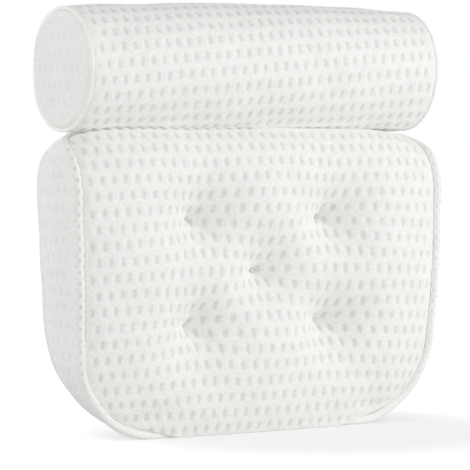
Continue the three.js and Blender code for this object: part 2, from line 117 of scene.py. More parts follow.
def feed(tree: Tree, node: Node, links: dict) -> None:
    """Links or sets the inputs of a node.

    Args:
        tree: Tree of the node.
        node: The node.
        links: Input name or place to the socket that feeds it, or to its value.
    """
    for name, source in links.items():
        if isinstance(source, Socket):
            tree.links.new(source, node.inputs[name])
        else:
            node.inputs[name].default_value = source


def add_node(tree: Tree, kind: str, links: dict | None = None, **settings: object) -> Node:
    """Adds a node with its links, values and settings.

    Args:
        tree: Tree that takes the node.
        kind: Blender's name for the node.
        links: Input name or place to the socket that feeds it, or to its value.
        settings: Properties of the node.

    Returns:
        The new node.
    """
    node = tree.nodes.new(kind)
    for name, value in settings.items():
        setattr(node, name, value)
    feed(tree, node, links or {})
    return node


def oval_field(tree: Tree, lattice: Socket, spread: tuple | list) -> tuple[Socket, Socket]:
    """Measures how far a point is from its nearest dimple in a staggered lattice.

    Args:
        tree: Shader or Geometry Nodes tree.
        lattice: Column, row and fade of the point, in lattice steps.
        spread: Lattice steps over the dimple's half width and half height, as numbers or sockets.

    Returns:
        The distance, 1 at the dimple's edge, and the fade.
    """
    at = add_node(tree, "ShaderNodeSeparateXYZ", {0: lattice})
    row = add_node(tree, "ShaderNodeMath", {0: at.outputs["Y"]}, operation="ROUND")
    odd = add_node(tree, "ShaderNodeMath", {0: row.outputs[0], 1: 2.0}, operation="FLOORED_MODULO")
    column = add_node(
        tree, "ShaderNodeMath", {0: odd.outputs[0], 1: 0.5, 2: at.outputs["X"]}, operation="MULTIPLY_ADD"
    )
    centre = add_node(tree, "ShaderNodeMath", {0: column.outputs[0]}, operation="ROUND")
    sides = []
    for place, middle, reach in (
        (column.outputs[0], centre.outputs[0], spread[0]),
        (at.outputs["Y"], row.outputs[0], spread[1]),
    ):
        off = add_node(tree, "ShaderNodeMath", {0: place, 1: middle}, operation="SUBTRACT")
        share = add_node(tree, "ShaderNodeMath", {0: off.outputs[0], 1: reach}, operation="MULTIPLY")
        length = add_node(tree, "ShaderNodeMath", {0: share.outputs[0]}, operation="ABSOLUTE")
        side = add_node(tree, "ShaderNodeMath", {0: length.outputs[0], 1: OVAL_POWER}, operation="POWER")
        sides.append(side.outputs[0])
    total = add_node(tree, "ShaderNodeMath", {0: sides[0], 1: sides[1]}, operation="ADD")
    return total.outputs[0], at.outputs["Z"]


@dataclass(frozen=True)
class Finish:
    """One real material: its name, its record slot, its colour and how it takes the light."""

    name: str
    slot: Slot
    colour: str
    roughness: float
    ior: float = 1.5

    def material(self) -> bpy.types.Material:
        """Gives the finish's material, made on its first use.

        Returns:
            A node material with one Principled shader.
        """
        made = bpy.data.materials.get(self.name)
        if made is None:
            made = bpy.data.materials.new(self.name)
            made.use_nodes = True
            shader = next(n for n in made.node_tree.nodes if n.type == "BSDF_PRINCIPLED")
            plain = {"Base Color": linear(self.colour), "Roughness": self.roughness, "IOR": self.ior}
            feed(made.node_tree, shader, plain)
            self.shade(made.node_tree, shader)
        return made

    def shade(self, tree: Tree, shader: Node) -> None:
        """Adds the finish's own pattern to the shader."""

    def grain(
        self, tree: Tree, size_mm: float, span: tuple[float, float], shape: dict[str, float]
    ) -> tuple[Socket, Socket]:
        """Draws a noise that stays fixed to the piece, and the values that it stands for.

        Args:
            tree: The material's tree.
            size_mm: Size of the noise's largest features.
            span: Values where the noise is low and where it is high.
            shape: Other inputs of the noise.

        Returns:
            The noise and the values.
        """
        place = add_node(tree, "ShaderNodeTexCoord")
        at = {"Vector": place.outputs["Object"], "Scale": 1 / (size_mm * MM)}
        noise = add_node(tree, "ShaderNodeTexNoise", at | shape).outputs["Fac"]
        limits = NOISE_LIMITS | {"To Min": span[0], "To Max": span[1]}
        values = add_node(tree, "ShaderNodeMapRange", {"Value": noise} | limits)
        return noise, values.outputs["Result"]

    def tint_and_raise(
        self, tree: Tree, shader: Node, tone: Socket, height: Socket, strength: float, depth_mm: float
    ) -> None:
        """Multiplies the finish's colour by a tone and raises a relief.

        Args:
            tree: The material's tree.
            shader: Its Principled node.
            tone: Share of the colour that stays.
            height: The relief, from 0 to 1.
            strength: How strongly the relief shows.
            depth_mm: Depth of the relief.
        """
        colour = add_node(
            tree, "ShaderNodeMix", {"Factor": 1.0, 6: linear(self.colour), 7: tone}, **MULTIPLY
        )
        bump = add_node(
            tree, "ShaderNodeBump", {"Height": height, "Strength": strength, "Distance": depth_mm * MM}
        )
        feed(tree, shader, {"Base Color": colour.outputs[2], "Normal": bump.outputs["Normal"]})


@dataclass(frozen=True)
class SpacerMesh(Finish):
    """Warp-knitted polyester spacer mesh: matte white, with pressed dimples that look a shade darker."""

    # The dimples' darker colour is partly the inner knit that shows through and partly painted shade of their
    # hollows.
    dimple: str = "E6E5E3"
    spread: tuple[float, float] = (4.7, 3.1)
    dimple_edge: tuple[float, float] = (0.1, 1.15)
    loop_mm: float = 1.5
    relief_mm: float = 0.12
    yarn_mm: float = 3.4
    ragged: float = 0.8
    fleck: tuple[float, float] = (0.958, 1.035)
    mottle_mm: float = 22.0
    mottle: tuple[float, float] = (0.965, 1.0)
    # Strength and reach of the painted glow in folds and seams.
    crease_glow: float = 0.085
    crease_glow_mm: float = 14.0

    def shade(self, tree: Tree, shader: Node) -> None:
        """Darkens the dimples, partly as painted shade, flecks and mottles the yarn slightly, raises the
        knit's loops and paints a glow into folds and seams.

        Args:
            tree: The material's tree.
            shader: Its Principled node.
        """
        lattice = add_node(tree, "ShaderNodeAttribute", attribute_name="lattice")
        oval, fade = oval_field(tree, lattice.outputs["Vector"], self.spread)
        cloth = add_node(tree, "ShaderNodeAttribute", attribute_name="cloth").outputs["Vector"]
        # The yarn lies unevenly, so a dimple's edge is ragged and the cloth around it is flecked.
        knit = {"Vector": cloth, "Scale": 1 / self.yarn_mm, "Detail": 2.0}
        yarn = add_node(tree, "ShaderNodeTexNoise", knit).outputs["Fac"]
        shift = add_node(
            tree,
            "ShaderNodeMath",
            {0: yarn, 1: self.ragged, 2: -0.5 * self.ragged},
            operation="MULTIPLY_ADD",
        )
        torn = add_node(tree, "ShaderNodeMath", {0: oval, 1: shift.outputs[0]}, operation="ADD")
        near, far = self.dimple_edge
        limits = {"From Min": near, "From Max": far, "To Min": 1.0, "To Max": 0.0}
        edge = add_node(
            tree, "ShaderNodeMapRange", {"Value": torn.outputs[0]} | limits, interpolation_type="SMOOTHSTEP"
        )
        pressed = add_node(
            tree, "ShaderNodeMath", {0: edge.outputs["Result"], 1: fade}, operation="MULTIPLY"
        )
        _, tone = self.grain(tree, self.mottle_mm, self.mottle, {"Detail": 3.0, "Roughness": 0.6})
        span = {"To Min": self.fleck[0], "To Max": self.fleck[1]}
        fleck = add_node(tree, "ShaderNodeMapRange", {"Value": yarn} | NOISE_LIMITS | span)
        both = add_node(tree, "ShaderNodeMath", {0: tone, 1: fleck.outputs["Result"]}, operation="MULTIPLY")
        # Painted shade, in part: the dimples take a darker colour for the inner knit and the shade in their
        # hollows.
        colour = add_node(
            tree,
            "ShaderNodeMix",
            {"Factor": pressed.outputs[0], 6: linear(self.colour), 7: linear(self.dimple)},
            data_type="RGBA",
        )
        mixed = add_node(
            tree, "ShaderNodeMix", {"Factor": 1.0, 6: colour.outputs[2], 7: both.outputs[0]}, **MULTIPLY
        )
        # A real loop is about 0.7 mm, too fine to show here, so it is drawn about twice as wide.
        loops = add_node(
            tree,
            "ShaderNodeTexVoronoi",
            {"Vector": cloth, "Scale": 1 / self.loop_mm, "Smoothness": 0.6},
            feature="SMOOTH_F1",
        )
        bump = add_node(
            tree,
            "ShaderNodeBump",
            {"Height": loops.outputs["Distance"], "Strength": 0.6, "Distance": self.relief_mm * MM},
            invert=True,
        )
        feed(tree, shader, {"Base Color": mixed.outputs[2], "Normal": bump.outputs["Normal"]})
        feed(tree, shader, {"Sheen Weight": 0.12, "Sheen Roughness": 0.45, "Specular IOR Level": 0.2})
        # Painted glow: emission in the cover's own colour where ambient occlusion finds folds and seams,
        # which lifts their shade so they stay pale.
        reach = add_node(tree, "ShaderNodeAmbientOcclusion", {"Distance": self.crease_glow_mm * MM}, samples=6)
        occluded_share = add_node(tree, "ShaderNodeMath", {0: 1.0, 1: reach.outputs["AO"]}, operation="SUBTRACT")
        crease_glow_strength = add_node(
            tree, "ShaderNodeMath", {0: occluded_share.outputs[0], 1: self.crease_glow}, operation="MULTIPLY"
        )
        feed(tree, shader, {"Emission Color": mixed.outputs[2], "Emission Strength": crease_glow_strength.outputs[0]})


@dataclass(frozen=True)
class OpenNet(Finish):
    """Knitted polyester net: a thin white lattice whose small openings are painted darker, as painted shade
    of the inside.
    """

    opening_shade: str = "BFBFBC"
    cell_mm: float = 3.2
    opening_edge: tuple[float, float] = (0.26, 0.42)
    relief_mm: float = 0.4

    def shade(self, tree: Tree, shader: Node) -> None:
        """Draws the net's cells in colour and relief.

        Args:
            tree: The material's tree.
            shader: Its Principled node.
        """
        cloth = add_node(tree, "ShaderNodeAttribute", attribute_name="cloth")
        cells = add_node(
            tree,
            "ShaderNodeTexVoronoi",
            {"Vector": cloth.outputs["Vector"], "Scale": 1 / self.cell_mm, "Randomness": 0.0},
            feature="F1",
        )
        near, far = self.opening_edge
        limits = {"From Min": near, "From Max": far, "To Min": 1.0, "To Max": 0.0}
        hole = add_node(
            tree,
            "ShaderNodeMapRange",
            {"Value": cells.outputs["Distance"]} | limits,
            interpolation_type="SMOOTHSTEP",
        )
        # Painted shade: the openings take a darker colour for the shaded inside seen through them.
        colour = add_node(
            tree,
            "ShaderNodeMix",
            {"Factor": hole.outputs["Result"], 6: linear(self.colour), 7: linear(self.opening_shade)},
            data_type="RGBA",
        )
        bump = add_node(
            tree,
            "ShaderNodeBump",
            {"Height": hole.outputs["Result"], "Strength": 0.8, "Distance": self.relief_mm * MM},
            invert=True,
        )
        feed(tree, shader, {"Base Color": colour.outputs[2], "Normal": bump.outputs["Normal"]})
        feed(tree, shader, {"Specular IOR Level": 0.25})


@dataclass(frozen=True)
class WovenTape(Finish):
    """Polyester webbing woven in a twill: fine ribs that cross at a slant, with a soft sheen."""

    thread_mm: float = 3.6
    slants: tuple[float, float] = (0.6, -0.9)
    relief_mm: float = 0.3

    def shade(self, tree: Tree, shader: Node) -> None:
        """Weaves slanted ribs across the cloth's own directions.

        Args:
            tree: The material's tree.
            shader: Its Principled node.
        """
        cloth = add_node(tree, "ShaderNodeAttribute", attribute_name="cloth").outputs["Vector"]
        heights = []
        # A real rib is about 1.2 mm, too fine to show here, so it is drawn three times as wide.
        for turn in self.slants:
            way = add_node(tree, "ShaderNodeMapping", {"Vector": cloth, "Rotation": (0.0, 0.0, turn)})
            rib = add_node(
                tree,
                "ShaderNodeTexWave",
                {"Vector": way.outputs["Vector"], "Scale": 1 / (3.2 * self.thread_mm), "Distortion": 0.4},
                bands_direction="X",
            )
            heights.append(rib.outputs["Fac"])
        weave = add_node(tree, "ShaderNodeMath", {0: heights[0], 1: heights[1]}, operation="MULTIPLY")
        limits = {"From Min": 0.0, "From Max": 0.6, "To Min": 0.74, "To Max": 1.0}
        shadow = add_node(tree, "ShaderNodeMapRange", {"Value": weave.outputs[0]} | limits)
        self.tint_and_raise(tree, shader, shadow.outputs["Result"], weave.outputs[0], 0.7, self.relief_mm)
        feed(tree, shader, {"Sheen Weight": 0.2})


@dataclass(frozen=True)
class FibreFill(Finish):
    """Loose polyester fibre: a soft white mass of fine strands."""

    strand_mm: float = 4.0
    tones: tuple[float, float] = (0.85, 1.0)
    relief_mm: float = 1.5

    def shade(self, tree: Tree, shader: Node) -> None:
        """Tangles strands in colour and relief.

        Args:
            tree: The material's tree.
            shader: Its Principled node.
        """
        tangle, tone = self.grain(tree, self.strand_mm, self.tones, {"Detail": 6.0, "Distortion": 2.5})
        self.tint_and_raise(tree, shader, tone, tangle, 0.8, self.relief_mm)


@dataclass(frozen=True)
class TwistedThread(Finish):
    """Spun polyester sewing thread: bright, with a fine fuzz and a slight sheen."""

    fuzz_mm: float = 0.5
    tones: tuple[float, float] = (0.9, 1.0)
    relief_mm: float = 0.15

    def shade(self, tree: Tree, shader: Node) -> None:
        """Adds the fuzz of the spun yarn.

        Args:
            tree: The material's tree.
            shader: Its Principled node.
        """
        fuzz, tone = self.grain(tree, self.fuzz_mm, self.tones, {"Detail": 2.0})
        self.tint_and_raise(tree, shader, tone, fuzz, 0.4, self.relief_mm)
        feed(tree, shader, {"Sheen Weight": 0.25})


@dataclass(frozen=True)
class ClearVinyl(Finish):
    """Soft PVC, injection moulded: milky and smooth, with a gloss, a faint cool tint and light through it."""

    cloud_mm: float = 9.0
    haze: tuple[float, float] = (0.06, 0.16)
    clearness: float = 0.62

    def shade(self, tree: Tree, shader: Node) -> None:
        """Lets light through and clouds the surface a little.

        Args:
            tree: The material's tree.
            shader: Its Principled node.
        """
        _, haze = self.grain(tree, self.cloud_mm, self.haze, {"Detail": 2.0})
        feed(tree, shader, {"Roughness": haze, "Transmission Weight": self.clearness})


@dataclass(frozen=True)
class MouldedPlastic(Finish):
    """White polypropylene, injection moulded: satin, with a very fine grain from the mould."""

    grain_mm: float = 0.8
    satin: tuple[float, float] = (0.32, 0.46)
    relief_mm: float = 0.05

    def shade(self, tree: Tree, shader: Node) -> None:
        """Adds the mould's grain.

        Args:
            tree: The material's tree.
            shader: Its Principled node.
        """
        grain, satin = self.grain(tree, self.grain_mm, self.satin, {"Detail": 3.0})
        bump = add_node(
            tree, "ShaderNodeBump", {"Height": grain, "Strength": 0.25, "Distance": self.relief_mm * MM}
        )
        feed(tree, shader, {"Roughness": satin, "Normal": bump.outputs["Normal"]})


COVER = SpacerMesh("polyester_spacer_mesh_dimpled", Slot.MESH, "F5F4F2", 0.92)
# The piping's pressed marks take a darker colour still: painted shade of their hollows over the inner knit.
COVER_PIPING = SpacerMesh(
    "polyester_spacer_mesh_folded", Slot.PIPING, "F5F4F2", 0.92, dimple="DCDBD8", spread=(6.4, 2.5)
)
# The welt is the cover's mesh painted lighter: a painted highlight along its crest.
WELT_HIGHLIGHT = SpacerMesh("polyester_spacer_mesh_bias_cut", Slot.PIPING, "FCFBF9", 0.9)
BACKING = OpenNet("polyester_net_knitted", Slot.NET, "EFEFED", 0.9)
TAPE = WovenTape("polyester_webbing_twill", Slot.WEBBING, "EDEDEA", 0.85)
FILLING = FibreFill("polyester_fibre_loose", Slot.FILLING, "F4F3EF", 0.95)
THREAD = TwistedThread("polyester_thread_spun", Slot.THREAD, "F4F4F2", 0.7)
VINYL = ClearVinyl("pvc_milky_moulded", Slot.PVC, "F6F9FA", 0.1, ior=1.53)
PLASTIC = MouldedPlastic("polypropylene_white_moulded", Slot.PLASTIC, "F2F2F0", 0.38, ior=1.49)


def new_tree(name: str, sizes: tuple[str, ...]) -> tuple[Tree, Node]:
    """Starts a Geometry Nodes tree with named inputs.

    Args:
        name: Name of the tree.
        sizes: Names of its inputs for sizes; an input for the finish is added to them.

    Returns:
        The tree and its group input node.
    """
    tree = bpy.data.node_groups.new(name, "GeometryNodeTree")
    tree.is_modifier = True
    tree.interface.new_socket(name="Geometry", in_out="OUTPUT", socket_type="NodeSocketGeometry")
    tree.interface.new_socket(name="Geometry", in_out="INPUT", socket_type="NodeSocketGeometry")
    for size in sizes:
        tree.interface.new_socket(name=size, in_out="INPUT", socket_type="NodeSocketFloat")
    tree.interface.new_socket(name="Finish", in_out="INPUT", socket_type="NodeSocketMaterial")
    return tree, tree.nodes.new("NodeGroupInput")


def close_tree(tree: Tree, geometry: Socket, finish: Socket) -> Tree:
    """Ends a tree in Realize Instances and Set Material.

    Args:
        tree: The tree to end.
        geometry: Socket with the made geometry.
        finish: Socket with the material.

    Returns:
        The same tree.
    """
    real = add_node(tree, "GeometryNodeRealizeInstances", {"Geometry": geometry})
    dressed = add_node(
        tree, "GeometryNodeSetMaterial", {"Geometry": real.outputs["Geometry"], "Material": finish}
    )
    add_node(tree, "NodeGroupOutput", {"Geometry": dressed.outputs["Geometry"]})
    return tree


def dimple_tree() -> Tree:
    """Presses staggered oval dimples into a cloth whose attribute "cloth" holds its own millimetres.

    Returns:
        The tree; its result carries the attribute "lattice": column, row and fade.
    """
    tree, given = new_tree("pressed_dimples", ("Pitch", "Row", "Half Width", "Half Height", "Depth"))
    asked = given.outputs
    cloth, fade = [
        add_node(tree, "GeometryNodeInputNamedAttribute", {"Name": name}, data_type=kind)
        for name, kind in (("cloth", "FLOAT_VECTOR"), ("fade", "FLOAT"))
    ]
    at = add_node(tree, "ShaderNodeSeparateXYZ", {0: cloth.outputs["Attribute"]})
    steps = [
        add_node(tree, "ShaderNodeMath", {0: at.outputs[axis], 1: asked[pitch]}, operation="DIVIDE")
        for axis, pitch in (("X", "Pitch"), ("Y", "Row"))
    ]
    lattice = add_node(
        tree,
        "ShaderNodeCombineXYZ",
        {"X": steps[0].outputs[0], "Y": steps[1].outputs[0], "Z": fade.outputs["Attribute"]},
    )
    spread = [
        add_node(tree, "ShaderNodeMath", {0: asked[pitch], 1: asked[half]}, operation="DIVIDE")
        for pitch, half in (("Pitch", "Half Width"), ("Row", "Half Height"))
    ]
    oval, strength = oval_field(tree, lattice.outputs["Vector"], [side.outputs[0] for side in spread])
    hollow = add_node(
        tree,
        "ShaderNodeMapRange",
        {"Value": oval, "From Min": 0.15, "From Max": 1.3, "To Min": 1.0, "To Max": 0.0},
        interpolation_type="SMOOTHSTEP",
    )
    pressed = add_node(
        tree, "ShaderNodeMath", {0: hollow.outputs["Result"], 1: strength}, operation="MULTIPLY"
    )
    kept = add_node(
        tree,
        "GeometryNodeStoreNamedAttribute",
        {"Geometry": asked["Geometry"], "Name": "lattice", "Value": lattice.outputs["Vector"]},
        data_type="FLOAT_VECTOR",
        domain="POINT",
    )
    inward = add_node(
        tree, "ShaderNodeMath", {0: pressed.outputs[0], 1: asked["Depth"]}, operation="MULTIPLY"
    )
    back = add_node(tree, "ShaderNodeMath", {0: inward.outputs[0], 1: -1.0}, operation="MULTIPLY")
    normal = add_node(tree, "GeometryNodeInputNormal").outputs["Normal"]
    step = add_node(tree, "ShaderNodeVectorMath", {0: normal, "Scale": back.outputs[0]}, operation="SCALE")
    moved = add_node(
        tree,
        "GeometryNodeSetPosition",
        {"Geometry": kept.outputs["Geometry"], "Offset": step.outputs["Vector"]},
    )
    return close_tree(tree, moved.outputs["Geometry"], asked["Finish"])


def stitch_tree() -> Tree:
    """Lays stitches end to end along the edges of a mesh line.

    Returns:
        The tree.
    """
    tree, given = new_tree("running_stitches", ("Pitch", "Length", "Thickness"))
    asked = given.outputs
    line = add_node(tree, "GeometryNodeMeshToCurve", {"Mesh": asked["Geometry"]})
    spaced = add_node(
        tree,
        "GeometryNodeResampleCurve",
        {"Curve": line.outputs["Curve"], "Length": asked["Pitch"]},
        mode="LENGTH",
    )
    bead = add_node(tree, "GeometryNodeMeshIcoSphere", {"Radius": 0.5, "Subdivisions": 2})
    size_of = add_node(
        tree,
        "ShaderNodeCombineXYZ",
        {"X": asked["Length"], "Y": asked["Thickness"], "Z": asked["Thickness"]},
    )
    way = add_node(tree, "GeometryNodeInputTangent").outputs["Tangent"]
    turned = add_node(tree, "FunctionNodeAlignRotationToVector", {"Vector": way}, axis="X")
    sewn = add_node(
        tree,
        "GeometryNodeInstanceOnPoints",
        {
            "Points": spaced.outputs["Curve"],
            "Instance": bead.outputs["Mesh"],
            "Rotation": turned.outputs["Rotation"],
            "Scale": size_of.outputs["Vector"],
        },
    )
    return close_tree(tree, sewn.outputs["Instances"], asked["Finish"])


def apply_tree(piece: Piece, tree: Tree, values: dict[str, object]) -> None:
    """Runs a tree on a piece and keeps its result as the piece's plain mesh.

    Args:
        piece: Piece to change.
        tree: Geometry Nodes tree.
        values: Input name to value.
    """
    modifier = piece.modifiers.new(tree.name, "NODES")
    modifier.node_group = tree
    for item in tree.interface.items_tree:
        if item.item_type == "SOCKET" and item.in_out == "INPUT" and item.name in values:
            modifier[item.identifier] = values[item.name]
    settle(piece)


def settle(piece: Piece) -> None:
    """Turns a piece's modifiers into its plain mesh."""
    bpy.context.view_layer.update()
    graph = bpy.context.evaluated_depsgraph_get()
    mesh = bpy.data.meshes.new_from_object(
        piece.evaluated_get(graph), preserve_all_data_layers=True, depsgraph=graph
    )
    piece.modifiers.clear()
    before = piece.data
    piece.data = mesh
    bpy.data.meshes.remove(before)
    mesh.name = piece.name
    mesh.polygons.foreach_set("use_smooth", np.ones(len(mesh.polygons), bool))


def quads(rows: int, columns: int, round_rows: bool = False, round_columns: bool = False) -> Array:
    """Faces of a net of points kept row by row.

    Args:
        rows: Points along the first direction.
        columns: Points along the second direction.
        round_rows: Whether the last row joins the first.
        round_columns: Whether the last column joins the first.

    Returns:
        An array of four point numbers per face.
    """
    i, j = np.meshgrid(
        np.arange(rows if round_rows else rows - 1),
        np.arange(columns if round_columns else columns - 1),
        indexing="ij",
    )
    ahead, beside = (i + 1) % rows, (j + 1) % columns
    corners = [i * columns + j, ahead * columns + j, ahead * columns + beside, i * columns + beside]
    return np.stack([c.ravel() for c in corners], axis=1)


def show(name: str, data: bpy.types.ID) -> Piece:
    """Puts a mesh, a curve, a camera or a lamp into the scene.

    Args:
        name: Name of the object.
        data: What the object shows.

    Returns:
        The object, at the origin.
    """
    made = bpy.data.objects.new(name, data)
    bpy.context.scene.collection.objects.link(made)
    return made


def make_piece(
    name: str,
    points: Array,
    faces: list | Array,
    finish: Finish,
    cloth: Array | None = None,
    fade: Array | None = None,
) -> Piece:
    """Makes a smooth mesh piece.

    Args:
        name: Name of the piece.
        points: Places in millimetres.
        faces: Point numbers of each face.
        finish: Finish of the piece.
        cloth: The cloth's own millimetres at each point.
        fade: How strongly a pressed pattern shows at each point, from 0 to 1.

    Returns:
        The piece, in the scene.
    """
    mesh = bpy.data.meshes.new(name)
    flat = np.asarray(points, float).reshape(-1, 3) * MM
    mesh.from_pydata(flat.tolist(), [], [list(map(int, f)) for f in faces])
    mesh.polygons.foreach_set("use_smooth", np.ones(len(mesh.polygons), bool))
    weave = flat / MM if cloth is None else np.asarray(cloth, float).reshape(len(flat), -1)
    spots = np.zeros((len(flat), 3), np.float32)
    spots[:, : weave.shape[1]] = weave
    mesh.attributes.new("cloth", "FLOAT_VECTOR", "POINT").data.foreach_set("vector", spots.ravel())
    strength = np.ones(len(flat)) if fade is None else np.asarray(fade, float).ravel()
    mesh.attributes.new("fade", "FLOAT", "POINT").data.foreach_set("value", strength.astype(np.float32))
    mesh.materials.append(finish.material())
    return show(name, mesh)


def turn_outwards(points: Array, faces: Array) -> Array:
    """Turns the faces of a closed form outwards.

    Args:
        points: Places of the form.
        faces: Its faces, all turned one way, each of three or four points.

    Returns:
        The faces, reversed where the form was inside out.
    """
    spots = np.asarray(points, float).reshape(-1, 3)
    spots = spots - spots.mean(axis=0)
    volume = 0.0
    for k in range(1, faces.shape[1] - 1):
        a, b, c = spots[faces[:, 0]], spots[faces[:, k]], spots[faces[:, k + 1]]
        volume += float(np.einsum("ij,ij->i", a, np.cross(b, c)).sum())
    return faces if volume > 0 else faces[:, ::-1]


def thicken(piece: Piece, depth: float) -> None:
    """Gives a sheet its thickness, inwards from its outer face.

    Args:
        piece: A sheet whose faces look outwards.
        depth: Thickness in millimetres.
    """
    wall = piece.modifiers.new("thickness", "SOLIDIFY")
    wall.thickness = depth * MM
    wall.offset = -1.0
    wall.use_rim = True
    settle(piece)


def resample(values: Array, count: int, closed: bool = False) -> Array:
    """Draws a smooth curve through values along their first direction.

    Args:
        values: Values to pass through.
        count: Number of samples.
        closed: Whether the last value joins the first.

    Returns:
        The samples.
    """
    have = len(values)
    if closed:
        at = np.arange(count) * have / count
        first = np.floor(at).astype(int)
        around = [values[(first + k) % have] for k in (-1, 0, 1, 2)]
    else:
        at = np.linspace(0, have - 1, count)
        first = np.minimum(np.floor(at).astype(int), have - 2)
        ends = np.concatenate([[2 * values[0] - values[1]], values, [2 * values[-1] - values[-2]]])
        around = [ends[first + k] for k in range(4)]
    t = (at - first).reshape(-1, *[1] * (values.ndim - 1))
    a, b, c, d = around
    return 0.5 * (2 * b + (c - a) * t + (2 * a - 5 * b + 4 * c - d) * t**2 + (3 * b - a - 3 * c + d) * t**3)


def refine(net: Array, rows: int, columns: int, round_columns: bool = False) -> Array:
    """Draws a finer net through a net of points.

    Args:
        net: Points by row and column.
        rows: Rows of the finer net.
        columns: Columns of the finer net.
        round_columns: Whether the last column joins the first.

    Returns:
        The finer net.
    """
    tall = resample(net, rows)
    return np.swapaxes(resample(np.swapaxes(tall, 0, 1), columns, round_columns), 0, 1)


def angles(count: int) -> Array:
    """Even steps round a full turn."""
    return np.arange(count) * TAU / count


def ease(share: Array) -> Array:
    """Goes from 0 to 1 with a gentle start and end."""
    part = np.clip(share, 0, 1)
    return part**2 * (3 - 2 * part)


def run_along(line: Array) -> Array:
    """Length of a line from its start to each of its points."""
    return np.concatenate([[0], np.cumsum(np.linalg.norm(np.diff(line, axis=0), axis=1))])


def headings(loop: Array) -> Array:
    """Unit directions of a closed line at its points."""
    along = np.roll(loop, -1, axis=0) - np.roll(loop, 1, axis=0)
    return along / np.linalg.norm(along, axis=1, keepdims=True)


def strip_cloth(across: Array, along: Array) -> Array:
    """Cloth millimetres of a strip, by place along it and place across it."""
    return np.stack(np.broadcast_arrays(across[None, :], along[:, None]), axis=2)


def fan(first: int, count: int, tip: int) -> list[list[int]]:
    """Faces that close a ring of points, numbered from the first, over a tip."""
    return [[first + k, tip, first + (k + 1) % count] for k in range(count)]


def joint_place(name: str) -> Array:
    """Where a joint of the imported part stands, in millimetres."""
    return np.array(next(j["pos_m"] for j in frame["joints"] if j["name"] == name)) / MM


@dataclass(frozen=True)
class Ripple:
    """Gentle waves in cloth, of set lengths and with fixed phases."""

    height: float
    lengths: tuple[float, ...]
    seed: int

    def at(self, along: Array, across: Array) -> Array:
        """Heights of the waves.

        Args:
            along: First coordinate in millimetres.
            across: Second coordinate in millimetres.

        Returns:
            Millimetres, from about minus the height to the height.
        """
        chance = np.random.default_rng(self.seed)
        total = np.zeros_like(np.asarray(along, float))
        for length in self.lengths:
            turn, phase = chance.uniform(0, TAU, 2)
            total += np.sin(TAU * (along * math.cos(turn) + across * math.sin(turn)) / length + phase)
        return self.height * total / len(self.lengths)


@dataclass(frozen=True)
class Relaxation:
    """A short cloth simulation that lets filled cloth find its shape between its seams."""

    pressure: float = 4.0
    frames: int = 20
    cap: float = 6.0
    stiffness: float = 12.0
    bending: float = 2.0

    def settle(self, net: Array, held: Array, round_columns: bool = False) -> Array:
        """Runs the simulation on a net of points.

        Args:
            net: Points in millimetres by row and column, facing outwards.
            held: True where the cloth is sewn down.
            round_columns: Whether the last column joins the first.

        Returns:
            The net after the simulation, each point moved by no more than the cap.
        """
        rows, columns = net.shape[:2]
        trial = make_piece("trial_cloth", net, quads(rows, columns, round_columns=round_columns), COVER)
        group = trial.vertex_groups.new(name="sewn")
        group.add([int(k) for k in np.flatnonzero(held.ravel())], 1.0, "REPLACE")
        cloth = trial.modifiers.new("cloth", "CLOTH")
        settings = {
            "quality": 6,
            "mass": 0.3,
            "tension_stiffness": self.stiffness,
            "compression_stiffness": self.stiffness,
            "shear_stiffness": self.stiffness / 2,
            "bending_stiffness": self.bending,
            "air_damping": 2.0,
            "vertex_group_mass": group.name,
            "use_pressure": True,
            "uniform_pressure_force": self.pressure,
        }
        for name, value in settings.items():
            setattr(cloth.settings, name, value)
        cloth.settings.effector_weights.gravity = 0.0
        cloth.collision_settings.use_collision = False
        cloth.point_cache.frame_end = self.frames
        scene = bpy.context.scene
        for step in range(1, self.frames + 1):
            scene.frame_set(step)
        graph = bpy.context.evaluated_depsgraph_get()
        shaped = trial.evaluated_get(graph).data
        spots = np.empty(rows * columns * 3)
        shaped.vertices.foreach_get("co", spots)
        moved = spots.reshape(rows, columns, 3) / MM - net
        mesh = trial.data
        bpy.data.objects.remove(trial)
        bpy.data.meshes.remove(mesh)
        scene.frame_set(1)
        far = np.linalg.norm(moved, axis=2, keepdims=True)
        log.info("cloth moved %.1f mm at most", float(far.max()))
        return net + moved * np.minimum(1.0, self.cap / np.maximum(far, 1e-9))


@dataclass(frozen=True)
class DimpleLattice:
    """The pressed pattern of the cover: staggered rows of ovals."""

    pitch: float = 10.9
    row: float = 14.0
    half_width: float = 2.5
    half_height: float = 4.5
    depth: float = 1.1

    def press(self, piece: Piece, finish: Finish) -> None:
        """Presses the pattern into a piece.

        Args:
            piece: A sheet with the attributes "cloth" and "fade".
            finish: Finish that the pressed sheet keeps.
        """
        tree = bpy.data.node_groups.get("pressed_dimples") or dimple_tree()
        apply_tree(
            piece,
            tree,
            {
                "Pitch": self.pitch,
                "Row": self.row,
                "Half Width": self.half_width,
                "Half Height": self.half_height,
                "Depth": self.depth * MM,
                "Finish": finish.material(),
            },
        )


